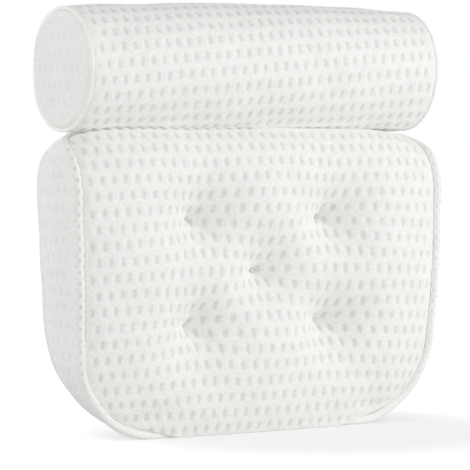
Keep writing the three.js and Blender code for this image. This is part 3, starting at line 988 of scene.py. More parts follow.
def sew(
    name: str,
    lines: list[Array],
    body: Body,
    pitch: float = 4.2,
    length: float = 3.0,
    thickness: float = 0.7,
) -> Piece:
    """Sews running stitches along lines of points.

    Args:
        name: Name of the piece.
        lines: Lines of points in millimetres; a line that ends where it starts is a loop.
        body: Body that the stitches ride on.
        pitch: From stitch to stitch.
        length: Length of a stitch.
        thickness: Thickness of the thread.

    Returns:
        The stitches as one piece.
    """
    points, edges = [], []
    for line in lines:
        start = len(points)
        loop = bool(np.allclose(line[0], line[-1]))
        kept = line[:-1] if loop else line
        points.extend(kept * MM)
        edges.extend((start + k, start + k + 1) for k in range(len(kept) - 1))
        if loop:
            edges.append((start + len(kept) - 1, start))
    mesh = bpy.data.meshes.new(name)
    mesh.from_pydata([tuple(p) for p in points], edges, [])
    piece = show(name, mesh)
    tree = bpy.data.node_groups.get("running_stitches") or stitch_tree()
    sizes = {"Pitch": pitch * MM, "Length": length * MM, "Thickness": thickness * MM}
    apply_tree(piece, tree, sizes | {"Finish": THREAD.material()})
    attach(piece, body.value)
    log.info("sewed %s", name)
    return piece


def dress(piece: Piece, body: str, finish: Finish, *nodes: str) -> Piece:
    """Puts a finished piece on its body, in the place of CAD nodes.

    Args:
        piece: The finished piece.
        body: Name of the body.
        finish: Finish of the piece; not used.
        nodes: CAD nodes that the piece stands for.

    Returns:
        The same piece.
    """
    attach(piece, body)
    if nodes:
        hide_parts(*nodes)
    log.info("made %s for %s, %d faces", piece.name, ", ".join(nodes) or "trim", len(piece.data.polygons))
    return piece


def tube(
    centres: Array, sides: Array, overs: Array, radii: tuple[float, float], count: int
) -> Array:
    """Rings of points round a line.

    Args:
        centres: Points of the line.
        sides: First cross direction at each point.
        overs: Second cross direction at each point.
        radii: Radius along each cross direction.
        count: Points round a ring.

    Returns:
        Points by place along the line and place round it.
    """
    angle = angles(count)
    across = radii[0] * np.cos(angle)[None, :, None] * sides[:, None, :]
    over = radii[1] * np.sin(angle)[None, :, None] * overs[:, None, :]
    return centres[:, None, :] + across + over


def lathe(profile: Profile, count: int, closed: bool) -> tuple[Array, Array, Array]:
    """Turns a profile about the Y axis.

    Args:
        profile: Radius and height points.
        count: Steps round the axis.
        closed: Whether the profile is a loop; otherwise it starts and ends on the axis.

    Returns:
        Points, faces turned outwards (quads, with poles as thin ones), and cloth millimetres.
    """
    shape = np.array(profile, float)
    angle = angles(count)
    rings = np.stack(
        [
            shape[:, None, 0] * np.cos(angle)[None, :],
            np.repeat(shape[:, 1:2], count, axis=1),
            shape[:, None, 0] * np.sin(angle)[None, :],
        ],
        axis=2,
    )
    faces = quads(len(shape), count, round_rows=closed, round_columns=True)
    along = np.repeat(run_along(shape)[:, None], count, axis=1)
    cloth = np.stack([along, angle[None, :] * np.maximum(shape[:, :1], 1.0)], axis=2)
    return rings.reshape(-1, 3), turn_outwards(rings, faces), cloth.reshape(-1, 2)


def weld(piece: Piece, reach: float = 0.002) -> None:
    """Merges points that fall together, such as those of a pole.

    Args:
        piece: Piece to weld.
        reach: Distance in millimetres under which points are one.
    """
    joint = piece.modifiers.new("weld", "WELD")
    joint.merge_threshold = reach * MM
    settle(piece)


def rounded(points: Profile, radius: float, steps: int, closed: bool) -> Profile:
    """Rounds the corners of a profile.

    Args:
        points: Corners of the profile.
        radius: Largest rounding; it shrinks where a side is short.
        steps: Points on each rounding.
        closed: Whether the profile is a loop.

    Returns:
        The rounded profile.
    """
    spots = [np.array(p, float) for p in points]
    out: Profile = []
    for k, corner in enumerate(spots):
        if not closed and k in (0, len(spots) - 1):
            out.append(tuple(corner))
            continue
        back, ahead = spots[k - 1] - corner, spots[(k + 1) % len(spots)] - corner
        reach = min(radius, 0.45 * np.linalg.norm(back), 0.45 * np.linalg.norm(ahead))
        start = corner + back / np.linalg.norm(back) * reach
        end = corner + ahead / np.linalg.norm(ahead) * reach
        for t in np.linspace(0, 1, steps + 1):
            out.append(tuple((1 - t) ** 2 * start + 2 * t * (1 - t) * corner + t**2 * end))
    return out


@dataclass
class PadSeams:
    """The two seam lines of the back pad, as the solids have them."""

    width: float = 386.0
    foot_width: float = 366.0
    height: float = 265.0
    depth: float = 82.0
    shoulder_radius: float = 16.0
    foot_radius: float = 76.0
    back_inset: float = 9.0
    back_foot_inset: float = 14.0
    back_shoulder_radius: float = 39.0
    back_foot_radius: float = 100.0
    piping_radius: float = 4.0
    foot_cut: float = 0.5
    pinch_start: float = 200.0
    pinch_depth: float = 38.0
    pinch_power: float = 3.5
    tuck_start: float = 150.0
    tuck_depth: float = 14.0
    tuck_power: float = 1.5
    side_bow: float = 2.2
    arc_points: int = 80
    middle: float = field(init=False)

    def __post_init__(self) -> None:
        """Takes the place of the pad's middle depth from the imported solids."""
        self.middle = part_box("pad_back_panel")[1].y / MM - self.depth / 2

    @property
    def foot_line(self) -> float:
        """Height of the seam at the foot."""
        return self.piping_radius * math.cos(math.pi / 6) - self.foot_cut

    @property
    def top_line(self) -> float:
        """Height of the seam at the top."""
        return self.height - self.piping_radius

    @property
    def back(self) -> float:
        """Depth of the back seam."""
        return self.middle + self.depth / 2

    def pinched(self, z: Array) -> Array:
        """Depth of the front seam at a height.

        Args:
            z: Heights.

        Returns:
            Depths, drawn back towards the top and, less, towards the foot.
        """
        climb = np.clip((z - self.pinch_start) / (self.top_line - self.pinch_start), 0, 1)
        fall = np.clip((self.tuck_start - z) / (self.tuck_start - self.foot_line), 0, 1)
        drawn = self.pinch_depth * climb**self.pinch_power + self.tuck_depth * fall**self.tuck_power
        return self.middle - self.depth / 2 + drawn

    def outline(self, front: bool, per_side: int, inset: float = 0.0) -> Array:
        """Points of a seam line, seen from the front and running foot, right, top, left.

        Args:
            front: Front seam or back seam.
            per_side: Points along each side, from mid corner to mid corner.
            inset: Distance inside the seam line.

        Returns:
            X and Z of four times per_side points.
        """
        half = self.width / 2 - self.piping_radius
        foot_half = self.foot_width / 2 - self.piping_radius
        upper, lower = self.shoulder_radius, self.foot_radius
        if not front:
            half, foot_half = half - self.back_inset, foot_half - self.back_foot_inset
            upper, lower = self.back_shoulder_radius, self.back_foot_radius
        corners = [
            (-foot_half, self.foot_line, lower),
            (foot_half, self.foot_line, lower),
            (half, self.top_line, upper),
            (-half, self.top_line, upper),
        ]
        arcs = []
        for k, (x, z, radius) in enumerate(corners):
            at = np.array([x, z])
            into = at - np.array(corners[k - 1][:2])
            out = np.array(corners[(k + 1) % 4][:2]) - at
            into, out = into / np.linalg.norm(into), out / np.linalg.norm(out)
            turn = math.acos(float(into @ out))
            inward = np.array([-into[1], into[0]])
            centre = at - into * radius * math.tan(turn / 2) + inward * radius
            begin = math.atan2(-inward[1], -inward[0])
            arcs.append((centre, radius - inset, begin, turn))
        ring = []
        for k in range(4):
            (c0, r0, b0, t0), (c1, r1, b1, t1) = arcs[k], arcs[(k + 1) % 4]
            leave = b0 + t0 * np.linspace(0.5, 1, self.arc_points)
            arrive = b1 + t1 * np.linspace(0, 0.5, self.arc_points)
            line = np.concatenate(
                [
                    c0 + r0 * np.stack([np.cos(leave), np.sin(leave)], axis=1),
                    c1 + r1 * np.stack([np.cos(arrive), np.sin(arrive)], axis=1),
                ]
            )
            run = run_along(line)
            at = np.linspace(0, run[-1], per_side + 1)[:-1]
            ring.append(np.stack([np.interp(at, run, line[:, 0]), np.interp(at, run, line[:, 1])], axis=1))
        ring = np.concatenate(ring)
        ring[:, 0] *= 1 + self.side_bow / half * np.sin(math.pi * np.clip(ring[:, 1] / self.height, 0, 1))
        return ring

    def outward(self, ring: Array) -> Array:
        """Unit directions out of a seam line.

        Args:
            ring: X and Z of a seam line.

        Returns:
            X and Z directions.
        """
        along = headings(ring)
        return np.stack([along[:, 1], -along[:, 0]], axis=1)

    def seam(self, front: bool, per_side: int, inset: float = 0.0) -> Array:
        """Places of a seam line.

        Args:
            front: Front seam or back seam.
            per_side: Points along each side.
            inset: Distance inside the seam line.

        Returns:
            Places in the part's frame.
        """
        ring = self.outline(front, per_side, inset)
        y = self.pinched(ring[:, 1]) if front else np.full(len(ring), self.back)
        return np.stack([ring[:, 0], y, ring[:, 1]], axis=1)


@dataclass
class TuftTie:
    """One tie through the filling: two twisted plies, a knot at each end and a felt washer at the back."""

    number: int
    x: float
    z: float
    front: float
    back: float
    twist: float = 5.0
    lay: float = 0.7
    ply: float = 0.78
    ply_sides: int = 8
    ply_end: float = 2.1
    knot_place: float = 3.0
    knot_sizes: tuple[float, float] = (0.95, 1.75)
    knot_tilts: tuple[float, ...] = (0.0, 1.05, 2.1)
    knot_rise: float = 0.3
    strand: float = 0.62
    strand_sides: int = 6
    washer_radii: tuple[float, float] = (1.9, 7.0)
    washer_levels: tuple[float, float] = (0.3, 1.8)

    def plies(self) -> list[tuple[Array, list]]:
        """Twists the two plies.

        Returns:
            Points and faces of each ply.
        """
        count = self.ply_sides
        length = np.linspace(self.front, self.back + self.ply_end, 40)
        cross, over = (np.tile(way, (len(length), 1)) for way in ([1.0, 0, 0], [0, 0, 1.0]))
        made = []
        for phase in (0, math.pi):
            turn = length / self.twist * TAU + phase
            centres = [self.x + self.lay * np.cos(turn), length, self.z + self.lay * np.sin(turn)]
            rings = tube(np.stack(centres, axis=1), cross, over, (self.ply, self.ply), count)
            faces = turn_outwards(rings, quads(len(length), count, round_columns=True)).tolist()
            last = (len(length) - 1) * count
            lids = [list(range(count)), list(range(last, last + count))[::-1]]
            first = np.cross(*(rings[0, [2, 4]] - rings[0, 0]))[1]
            faces += lids if first < 0 else [lid[::-1] for lid in lids]
            made.append((rings.reshape(-1, 3), faces))
        return made

    def knots(self) -> list[tuple[Array, list]]:
        """Winds the knots at both ends.

        Returns:
            Points and faces of each loop of thread.
        """
        angle, count = angles(120), self.strand_sides
        ends = ((self.front, -1.0), (self.back + self.knot_place, 1.0))
        made = []
        for (at, way), wide in zip(ends, self.knot_sizes):
            for tilt in self.knot_tilts:
                swing = [np.cos(angle), self.knot_rise * np.sin(3 * angle + tilt), np.sin(angle)]
                line = np.stack(swing, axis=1) * [wide, way * wide, wide] + [self.x, at, self.z]
                along = headings(line)
                out = np.cross(along, [0, 1.0, 0])
                out /= np.linalg.norm(out, axis=1, keepdims=True)
                rings = tube(line, out, np.cross(along, out), (self.strand, self.strand), count)
                faces = quads(len(line), count, round_rows=True, round_columns=True)
                made.append((rings.reshape(-1, 3), turn_outwards(rings, faces).tolist()))
        return made

    def build(self) -> None:
        """Makes the tie and its washer."""
        points, faces = [], []
        for spots, sides in self.plies() + self.knots():
            start = sum(len(p) for p in points)
            faces += [[start + n for n in side] for side in sides]
            points.append(spots)
        tie = make_piece(f"tuft_cord_{self.number}", np.concatenate(points), faces, THREAD)
        dress(tie, Body.PAD.value, THREAD, f"tuft_tie_{self.number}")
        (inner, outer), (low, high) = self.washer_radii, self.washer_levels
        ring = rounded([(inner, low), (outer, low), (outer, high), (inner, high)], 0.6, 4, closed=True)
        spots, sides, cloth = lathe(ring, 40, closed=True)
        place = [self.x, self.back, self.z]
        washer = make_piece(f"felt_washer_{self.number}", spots + place, sides, TAPE, cloth)
        dress(washer, Body.PAD.value, TAPE, f"tuft_washer_{self.number}")


@dataclass
class BackPad:
    """The tufted pad: front panel, side band, back panel, piping, filling, ties and washers."""

    seams: PadSeams = field(default_factory=PadSeams)
    fabric: float = 3.0
    wall: float = 2.4
    seam_lap: float = 0.4
    # At its top the panel reaches this share of the way over the piping to the seam line.
    top_reach: float = 0.8
    crown: float = 22.0
    side_bulge: float = 9.0
    # Each tuft has a wide pit, a sharp cusp in its middle, cloth that is drawn in, and creases.
    tuft_across: float = 138.0
    tuft_rise: float = 93.0
    tuft_centre_height: float = 142.0
    tuft_depth: float = 44.0
    tuft_snap: float = 14.0
    pit_share: float = 0.58
    pit_reach: float = 38.0
    cusp_reach: float = 21.0
    pull: float = 0.26
    pull_reach: float = 36.0
    creases: tuple[tuple[float, float], ...] = ((-42, 2.4), (48, 1.8), (140, 1.6), (222, 1.8))
    crease_width: float = 1.6
    crease_spread: float = 0.1
    crease_reach: float = 15.0
    crease_start: float = 4.0
    # The top edge puffs up, differently at its left and right ends, and the foot sags.
    top_lift: float = 21.0
    lift_powers: tuple[float, float] = (10.0, 5.5)
    lift_reach: tuple[float, float] = (5.0, 30.0)
    foot_sag: float = 15.5
    sag_start: float = 0.1
    sag_run: float = 0.16
    sag_reach: tuple[float, float] = (4.0, 24.0)
    # The dimples' rows droop at both sides and leave a plain margin at the left and the right.
    row_droop: float = 5.0
    droop_power: float = 2.5
    panel_size: tuple[float, float] = (372.0, 258.0)
    plain_margins: tuple[float, float] = (2.0, 8.0)
    panel_wave: Ripple = Ripple(0.7, (61.0, 83.0, 47.0), 11)
    panel_pucker: Ripple = Ripple(0.55, (13.0, 17.0, 9.5), 5)
    band_wave: Ripple = Ripple(0.9, (74.0, 53.0, 96.0), 21)
    band_pucker: Ripple = Ripple(0.35, (12.0, 16.0), 23)
    back_wave: Ripple = Ripple(0.8, (70.0, 110.0, 53.0), 31)
    # The piping thins towards the top, and its pressed marks grow stronger with the height.
    thin_from: float = 240.0
    thinning: float = 0.6
    wobble: float = 0.25
    wobble_length: float = 47.0
    mark_pitch: float = 4.8
    marks_round: int = 3
    mark_size: tuple[float, float, float] = (1.3, 1.9, 0.6)
    mark_heights: tuple[float, float] = (35.0, 110.0)
    mark_strengths: tuple[float, float] = (0.15, 0.75)
    right_marks: float = 0.6
    back_marks: float = 0.5
    filling_gap: float = 2.5
    filling_back: float = 6.0
    relaxing: Relaxation = Relaxation(pressure=3.0, cap=5.0)
    lattice: DimpleLattice = DimpleLattice()
    band_lattice: DimpleLattice = DimpleLattice(half_width=2.4, half_height=4.2, depth=0.9)
    band_strength: float = 0.42

    def tufts(self) -> Array:
        """X and Z of the five tufts, in the order of their ties."""
        steps = np.array([(-0.5, 0.5), (0.5, 0.5), (0, 0), (-0.5, -0.5), (0.5, -0.5)])
        return steps * [self.tuft_across, self.tuft_rise] + [0, self.tuft_centre_height]

    def front_net(self, columns: int, rows: int) -> tuple[Array, Array, Array]:
        """The front panel before its cloth relaxes.

        Args:
            columns: Points from left to right.
            rows: Points from foot to top.

        Returns:
            Places by column and row, the cloth's millimetres, and True where it is sewn down.
        """
        fine = 4 * (columns + rows)
        ring = self.seams.outline(True, fine, inset=self.seams.piping_radius - self.seam_lap)
        near = np.clip((ring[:, 1:] - self.thin_from) / (self.seams.top_line - self.thin_from), 0, 1)
        ring += (self.seams.outline(True, fine) - ring) * self.top_reach * near
        loop = np.concatenate([ring, ring[:1]])
        sides = [loop[k * fine : (k + 1) * fine + 1] for k in range(4)]
        u, v = np.linspace(0, 1, columns), np.linspace(0, 1, rows)
        run = np.linspace(0, 1, fine + 1)

        def along(side: Array, share: Array) -> Array:
            """Points of a side at shares of its length."""
            return np.stack([np.interp(share, run, side[:, 0]), np.interp(share, run, side[:, 1])], axis=1)

        foot, right = along(sides[0], u), along(sides[1], v)
        top, left = along(sides[2], 1 - u), along(sides[3], 1 - v)
        uu, vv = u[:, None, None], v[None, :, None]
        flat = (1 - vv) * foot[:, None] + vv * top[:, None] + (1 - uu) * left[None] + uu * right[None]
        flat -= (1 - uu) * (1 - vv) * foot[0] + uu * (1 - vv) * foot[-1]
        flat -= (1 - uu) * vv * top[0] + uu * vv * top[-1]
        held = np.zeros((columns, rows), bool)
        held[[0, -1], :] = True
        held[:, [0, -1]] = True
        for spot in self.tufts():
            near = np.linalg.norm(flat - spot, axis=2)
            i, j = np.unravel_index(int(near.argmin()), near.shape)
            away = np.exp(-((near / self.tuft_snap) ** 2))[..., None]
            flat += away * (spot - flat[i, j])
            held[i, j] = True
        swell = np.sqrt(np.clip(16 * uu * (1 - uu) * vv * (1 - vv), 0, 1))[..., 0]
        cloth = self.unroll(self.swollen(flat, swell, u, v))
        for spot in self.tufts():
            off = flat - spot
            reach = np.linalg.norm(off, axis=2, keepdims=True)
            flat = flat - off * self.pull * np.exp(-((reach / self.pull_reach) ** 2))
        face = self.swollen(flat, swell, u, v)
        for spot in self.tufts():
            reach = np.linalg.norm(flat - spot, axis=2)
            pit = self.tuft_depth * (1 - self.pit_share) * np.exp(-((reach / self.pit_reach) ** 2))
            face[..., 1] += pit * swell
        return face, cloth, held

    def swollen(self, flat: Array, swell: Array, u: Array, v: Array) -> Array:
        """Swells the flat panel out of its seams, over the piping at its top and foot.

        Args:
            flat: X and Z by column and row.
            swell: Share of the crown at each point.
            u: Share of the width of each column.
            v: Share of the height of each row.

        Returns:
            Places by column and row.
        """
        seams = self.seams
        low, high = flat[..., 1].min(), flat[..., 1].max()
        z = seams.foot_line + (flat[..., 1] - low) / (high - low) * (seams.top_line - seams.foot_line)
        drop, rise = (1 - v)[None, :] * seams.height, v[None, :] * seams.height
        power = np.where(u < 0.5, self.lift_powers[0], self.lift_powers[1])
        ends = np.clip(1 - np.abs(2 * u - 1) ** power, 0, 1)[:, None]
        start, fall = self.lift_reach
        lift = self.top_lift * ends * (1 - np.exp(-drop / start)) * np.exp(-((drop / fall) ** 2))
        inner = ease((np.minimum(u, 1 - u) - self.sag_start) / self.sag_run)[:, None]
        start, fall = self.sag_reach
        sag = self.foot_sag * inner * (1 - np.exp(-rise / start)) * np.exp(-((rise / fall) ** 2))
        y = seams.pinched(z) - self.crown * swell
        return np.stack([flat[..., 0], y, flat[..., 1] + lift - sag], axis=2)

    def unroll(self, face: Array) -> Array:
        """Measures the cloth along its own surface, with level rows that droop at the panel's sides.

        Args:
            face: Places by column and row.

        Returns:
            Millimetres across and up by column and row.
        """
        across = np.linalg.norm(np.diff(face, axis=0), axis=2).cumsum(axis=0)
        across = np.concatenate([np.zeros((1, face.shape[1])), across])
        up = np.linalg.norm(np.diff(face, axis=1), axis=2).cumsum(axis=1)
        up = np.concatenate([np.zeros((face.shape[0], 1)), up], axis=1)
        column, row = face.shape[0] // 2, face.shape[1] // 2
        across -= across[column][None, :]
        level = face[:, row, 2] - face[column, row, 2]
        bow = self.row_droop * np.abs(np.linspace(-1, 1, face.shape[0])) ** self.droop_power
        up += (level + bow - up[:, row])[:, None]
        return np.stack([across, up], axis=2)

    def creased(self, off: Array, swing: float) -> Array:
        """Depth of the sharp creases that run out of one tuft.

        Args:
            off: X and Z from the tuft.
            swing: Degrees that the creases are turned by.

        Returns:
            Depths in millimetres.
        """
        reach = np.linalg.norm(off, axis=2)
        total = np.zeros(reach.shape)
        for angle, depth in self.creases:
            turn = math.radians(angle + swing)
            ahead = off[..., 0] * math.cos(turn) + off[..., 1] * math.sin(turn)
            aside = off[..., 1] * math.cos(turn) - off[..., 0] * math.sin(turn)
            far = np.maximum(ahead, 0)
            trough = np.exp(-((aside / (self.crease_width + self.crease_spread * far)) ** 2))
            trough *= np.exp(-far / self.crease_reach) * (ahead > -2)
            total += depth * trough * (1 - np.exp(-reach / self.crease_start))
        return total

    def front_face(self, columns: int, rows: int) -> tuple[Array, Array, Array]:
        """The relaxed front panel with its sharp pits, creases and seam puckers.

        Args:
            columns: Points from left to right.
            rows: Points from foot to top.

        Returns:
            Places by column and row, the cloth's millimetres, and how strongly the pattern shows.
        """
        net, cloth, held = self.front_net(85, 61)
        face = refine(self.relaxing.settle(net, held), columns, rows)
        weave = refine(np.concatenate([cloth, np.zeros_like(cloth[..., :1])], axis=2), columns, rows)[..., :2]
        pits = np.zeros((columns, rows))
        for k, spot in enumerate(self.tufts()):
            off = face[..., [0, 2]] - spot
            cusp = np.exp(-np.linalg.norm(off, axis=2) / self.cusp_reach)
            pits += self.tuft_depth * self.pit_share * cusp + self.creased(off, 9 * math.sin(3.1 * k))
        face[..., 1] += pits
        u = np.linspace(0, 1, columns)[:, None]
        v = np.linspace(0, 1, rows)[None, :]
        wide, tall = self.panel_size
        edge = np.minimum(np.minimum(u, 1 - u) * wide, np.minimum(v, 1 - v) * tall)
        pucker = self.panel_pucker.at(weave[..., 0], weave[..., 1])
        face[..., 1] -= pucker * np.exp(-edge / 8) * np.minimum(edge / 2, 1)
        face[..., 1] -= self.panel_wave.at(weave[..., 0], weave[..., 1]) * np.minimum(edge / 30, 1)
        margin = np.where(weave[..., 0] < 0, self.plain_margins[0], self.plain_margins[1])
        fade = np.clip((edge - margin) / 4, 0, 1)
        return face, weave, fade

    def band_grid(self, per_side: int, shares: Array, sink: float, tuck: float) -> Array:
        """Points of the side band or of a layer under it.

        Args:
            per_side: Points along each side of the seams.
            shares: Places from the front seam, 0, to the back seam, 1.
            sink: Depth under the band's face.
            tuck: Distance from each seam line where the grid ends.

        Returns:
            Places by share and place round the pad.
        """
        seams = self.seams
        rings = [seams.outline(front, per_side) for front in (True, False)]
        outs = [seams.outward(ring) for ring in rings]
        fronts, backs = seams.pinched(rings[0][:, 1]) + tuck, np.full(len(rings[0]), seams.back - tuck)
        t = shares[:, None]
        deep = np.clip((backs - fronts + 2 * tuck) / seams.depth, 0, 1)[None, :]
        swell = self.side_bulge * deep * outs[0][None, :, 0] ** 2 * np.sin(math.pi * t)
        out = (1 - t)[..., None] * outs[0] + t[..., None] * outs[1]
        flat = (1 - t)[..., None] * rings[0] + t[..., None] * rings[1]
        flat = flat + out * (seams.piping_radius / 2 - sink + swell)[..., None]
        y = (1 - t) * fronts + t * backs
        return np.stack([flat[..., 0], y, flat[..., 1]], axis=2)

    def build_front(self) -> Array:
        """Makes the front panel.

        Returns:
            A coarse copy of its face, for the filling behind it.
        """
        columns, rows = 236, 166
        face, weave, fade = self.front_face(columns, rows)
        piece = make_piece("front_panel", face, quads(columns, rows), COVER, weave, fade)
        self.lattice.press(piece, COVER)
        thicken(piece, self.wall)
        dress(piece, Body.PAD.value, COVER, "pad_front_panel")
        return face[::4, ::4]

    def build_band(self) -> None:
        """Makes the side band, with its faint pattern and soft waves."""
        per_side, shares = 150, np.linspace(0, 1, 40)
        grid = self.band_grid(per_side, shares, 0.0, 2.2)
        ring = grid[len(shares) // 2]
        wide = np.linalg.norm(np.diff(grid, axis=0), axis=2).cumsum(axis=0)
        across = np.concatenate([np.zeros((1, len(ring))), wide])
        around = np.repeat(run_along(ring)[None, :], len(shares), axis=0)
        edge = np.minimum(shares, 1 - shares)[:, None] * self.seams.depth
        outs = self.seams.outward(self.seams.outline(True, per_side))
        pucker = self.band_pucker.at(around, across * 0.15) * np.exp(-edge / 9) * np.minimum(edge / 3, 1)
        soft = self.band_wave.at(around, across) * np.minimum(edge / 12, 1) + pucker
        grid[..., 0] += soft * outs[None, :, 0]
        grid[..., 2] = np.maximum(grid[..., 2] + soft * outs[None, :, 1] * (grid[..., 2] > 30), 0.6)
        cloth = np.stack([across, around], axis=2)
        fade = np.repeat(np.clip((edge - 4) / 9, 0, 1) * self.band_strength, len(ring), axis=1)
        faces = quads(len(shares), len(ring), round_columns=True)
        piece = make_piece("side_band", grid, faces, COVER, cloth, fade)
        self.band_lattice.press(piece, COVER)
        thicken(piece, self.wall)
        dress(piece, Body.PAD.value, COVER, "pad_side_band")

    def build_back(self) -> None:
        """Makes the flat net panel at the back."""
        per_side, steps = 60, 26
        border = self.seams.outline(False, per_side, inset=self.seams.piping_radius - self.seam_lap)
        middle = np.array([0.0, self.tuft_centre_height - 12])
        share = np.linspace(1, 0.02, steps)[:, None, None]
        flat = middle + (border - middle)[None] * share
        sag = self.back_wave.at(flat[..., 0], flat[..., 1]) * np.minimum((1 - share[..., 0]) * 6, 1)
        y = self.seams.back - 0.6 - 0.9 * np.abs(sag)
        grid = np.stack([flat[..., 0], y, flat[..., 1]], axis=2)
        points = np.concatenate([grid.reshape(-1, 3), [[middle[0], self.seams.back - 0.6, middle[1]]]])
        count = len(border)
        faces = quads(steps, count, round_columns=True).tolist()
        faces += fan((steps - 1) * count, count, len(points) - 1)
        piece = make_piece("back_panel", points, faces, BACKING, points[:, [0, 2]])
        thicken(piece, self.fabric * 0.7)
        dress(piece, Body.PAD.value, BACKING, "pad_back_panel")

    def build_piping(self, front: bool) -> None:
        """Makes the folded piping along one seam.

        Args:
            front: Front seam or back seam.
        """
        seams, per_side, count = self.seams, 300, 18
        centres = seams.seam(front, per_side)
        out = seams.outward(seams.outline(front, per_side))
        sides = np.stack([out[:, 0], np.zeros(len(out)), out[:, 1]], axis=1)
        overs = np.cross(headings(centres), sides)
        run = run_along(centres)
        total = run[-1] + np.linalg.norm(centres[0] - centres[-1])
        wobble = self.wobble * np.sin(TAU * run / (total / round(total / self.wobble_length)))
        radius = seams.piping_radius
        rings = tube(centres + sides * wobble[:, None], sides, overs, (radius * 0.95, radius * 0.95), count)
        thin = 1 - self.thinning * ease((centres[:, 2] - self.thin_from) / (seams.top_line - self.thin_from))
        rings = centres[:, None] + (rings - centres[:, None]) * thin[:, None, None]
        rings[..., 2] = np.maximum(rings[..., 2], 0.0)
        cloth = strip_cloth(angles(count) * radius, run)
        faces = turn_outwards(rings, quads(len(run), count, round_rows=True, round_columns=True))
        name = "front_piping" if front else "back_piping"
        shown = np.interp(centres[:, 2], self.mark_heights, self.mark_strengths) * thin
        shown *= np.where(centres[:, 0] > 0, self.right_marks, 1.0) if front else self.back_marks
        fade = np.repeat(shown[:, None], count, axis=1)
        piece = make_piece(name, rings, faces, COVER_PIPING, cloth, fade)
        girth, pitch = TAU * radius, total / round(total / self.mark_pitch)
        DimpleLattice(girth / self.marks_round, pitch, *self.mark_size).press(piece, COVER_PIPING)
        dress(piece, Body.PAD.value, COVER_PIPING, f"pad_{name}")

    def build_filling(self, face: Array) -> None:
        """Makes the fibre filling inside the cover.

        Args:
            face: Coarse front face of the cover.
        """
        columns, rows = face.shape[:2]
        front = face.copy()
        front[..., 1] += self.fabric + self.filling_gap
        border = np.concatenate([front[:-1, 0], front[-1, :-1], front[:0:-1, -1], front[0, :0:-1]])
        count = len(border)
        walls = self.band_grid(60, np.array([0.12, 0.35, 0.65, 0.9]), 5.0, 4.0)
        walls = np.stack([resample(w, count, closed=True) for w in walls])
        back = self.seams.back - self.filling_back
        middle = np.array([[0.0, back, self.tuft_centre_height]])
        tail = resample(self.seams.seam(False, 60, inset=9.0), count, closed=True)
        tail[:, 1] = back
        points = np.concatenate([front.reshape(-1, 3), walls.reshape(-1, 3), tail, middle])
        number = np.arange(columns * rows).reshape(columns, rows)
        edge = np.concatenate([number[:-1, 0], number[-1, :-1], number[:0:-1, -1], number[0, :0:-1]])
        rings = [edge] + [columns * rows + k * count + np.arange(count) for k in range(len(walls) + 1)]
        faces = quads(columns, rows).tolist()
        for near, far in zip(rings, rings[1:]):
            faces += [[near[k], far[k], far[(k + 1) % count], near[(k + 1) % count]] for k in range(count)]
        faces += fan(rings[-1][0], count, len(points) - 1)
        piece = make_piece("pad_fibre", points, faces, FILLING)
        dress(piece, Body.PAD.value, FILLING, "pad_filling")

    def build(self) -> None:
        """Makes the whole pad."""
        face = self.build_front()
        self.build_band()
        self.build_back()
        self.build_piping(True)
        self.build_piping(False)
        self.build_filling(face)
        for number, spot in enumerate(self.tufts(), 1):
            near = np.linalg.norm(face[..., [0, 2]] - spot, axis=2)
            front = float(face[..., 1].ravel()[int(near.argmin())]) - 0.4
            TuftTie(number, spot[0], spot[1], front, self.seams.back).build()
        for front in (True, False):
            line = self.seams.seam(front, 110, inset=self.seams.piping_radius + 1.6)
            line[:, 1] += -1.5 if front else 0.1
            name = "front_seam_stitches" if front else "back_seam_stitches"
            sew(name, [np.concatenate([line, line[:1]])], Body.PAD)


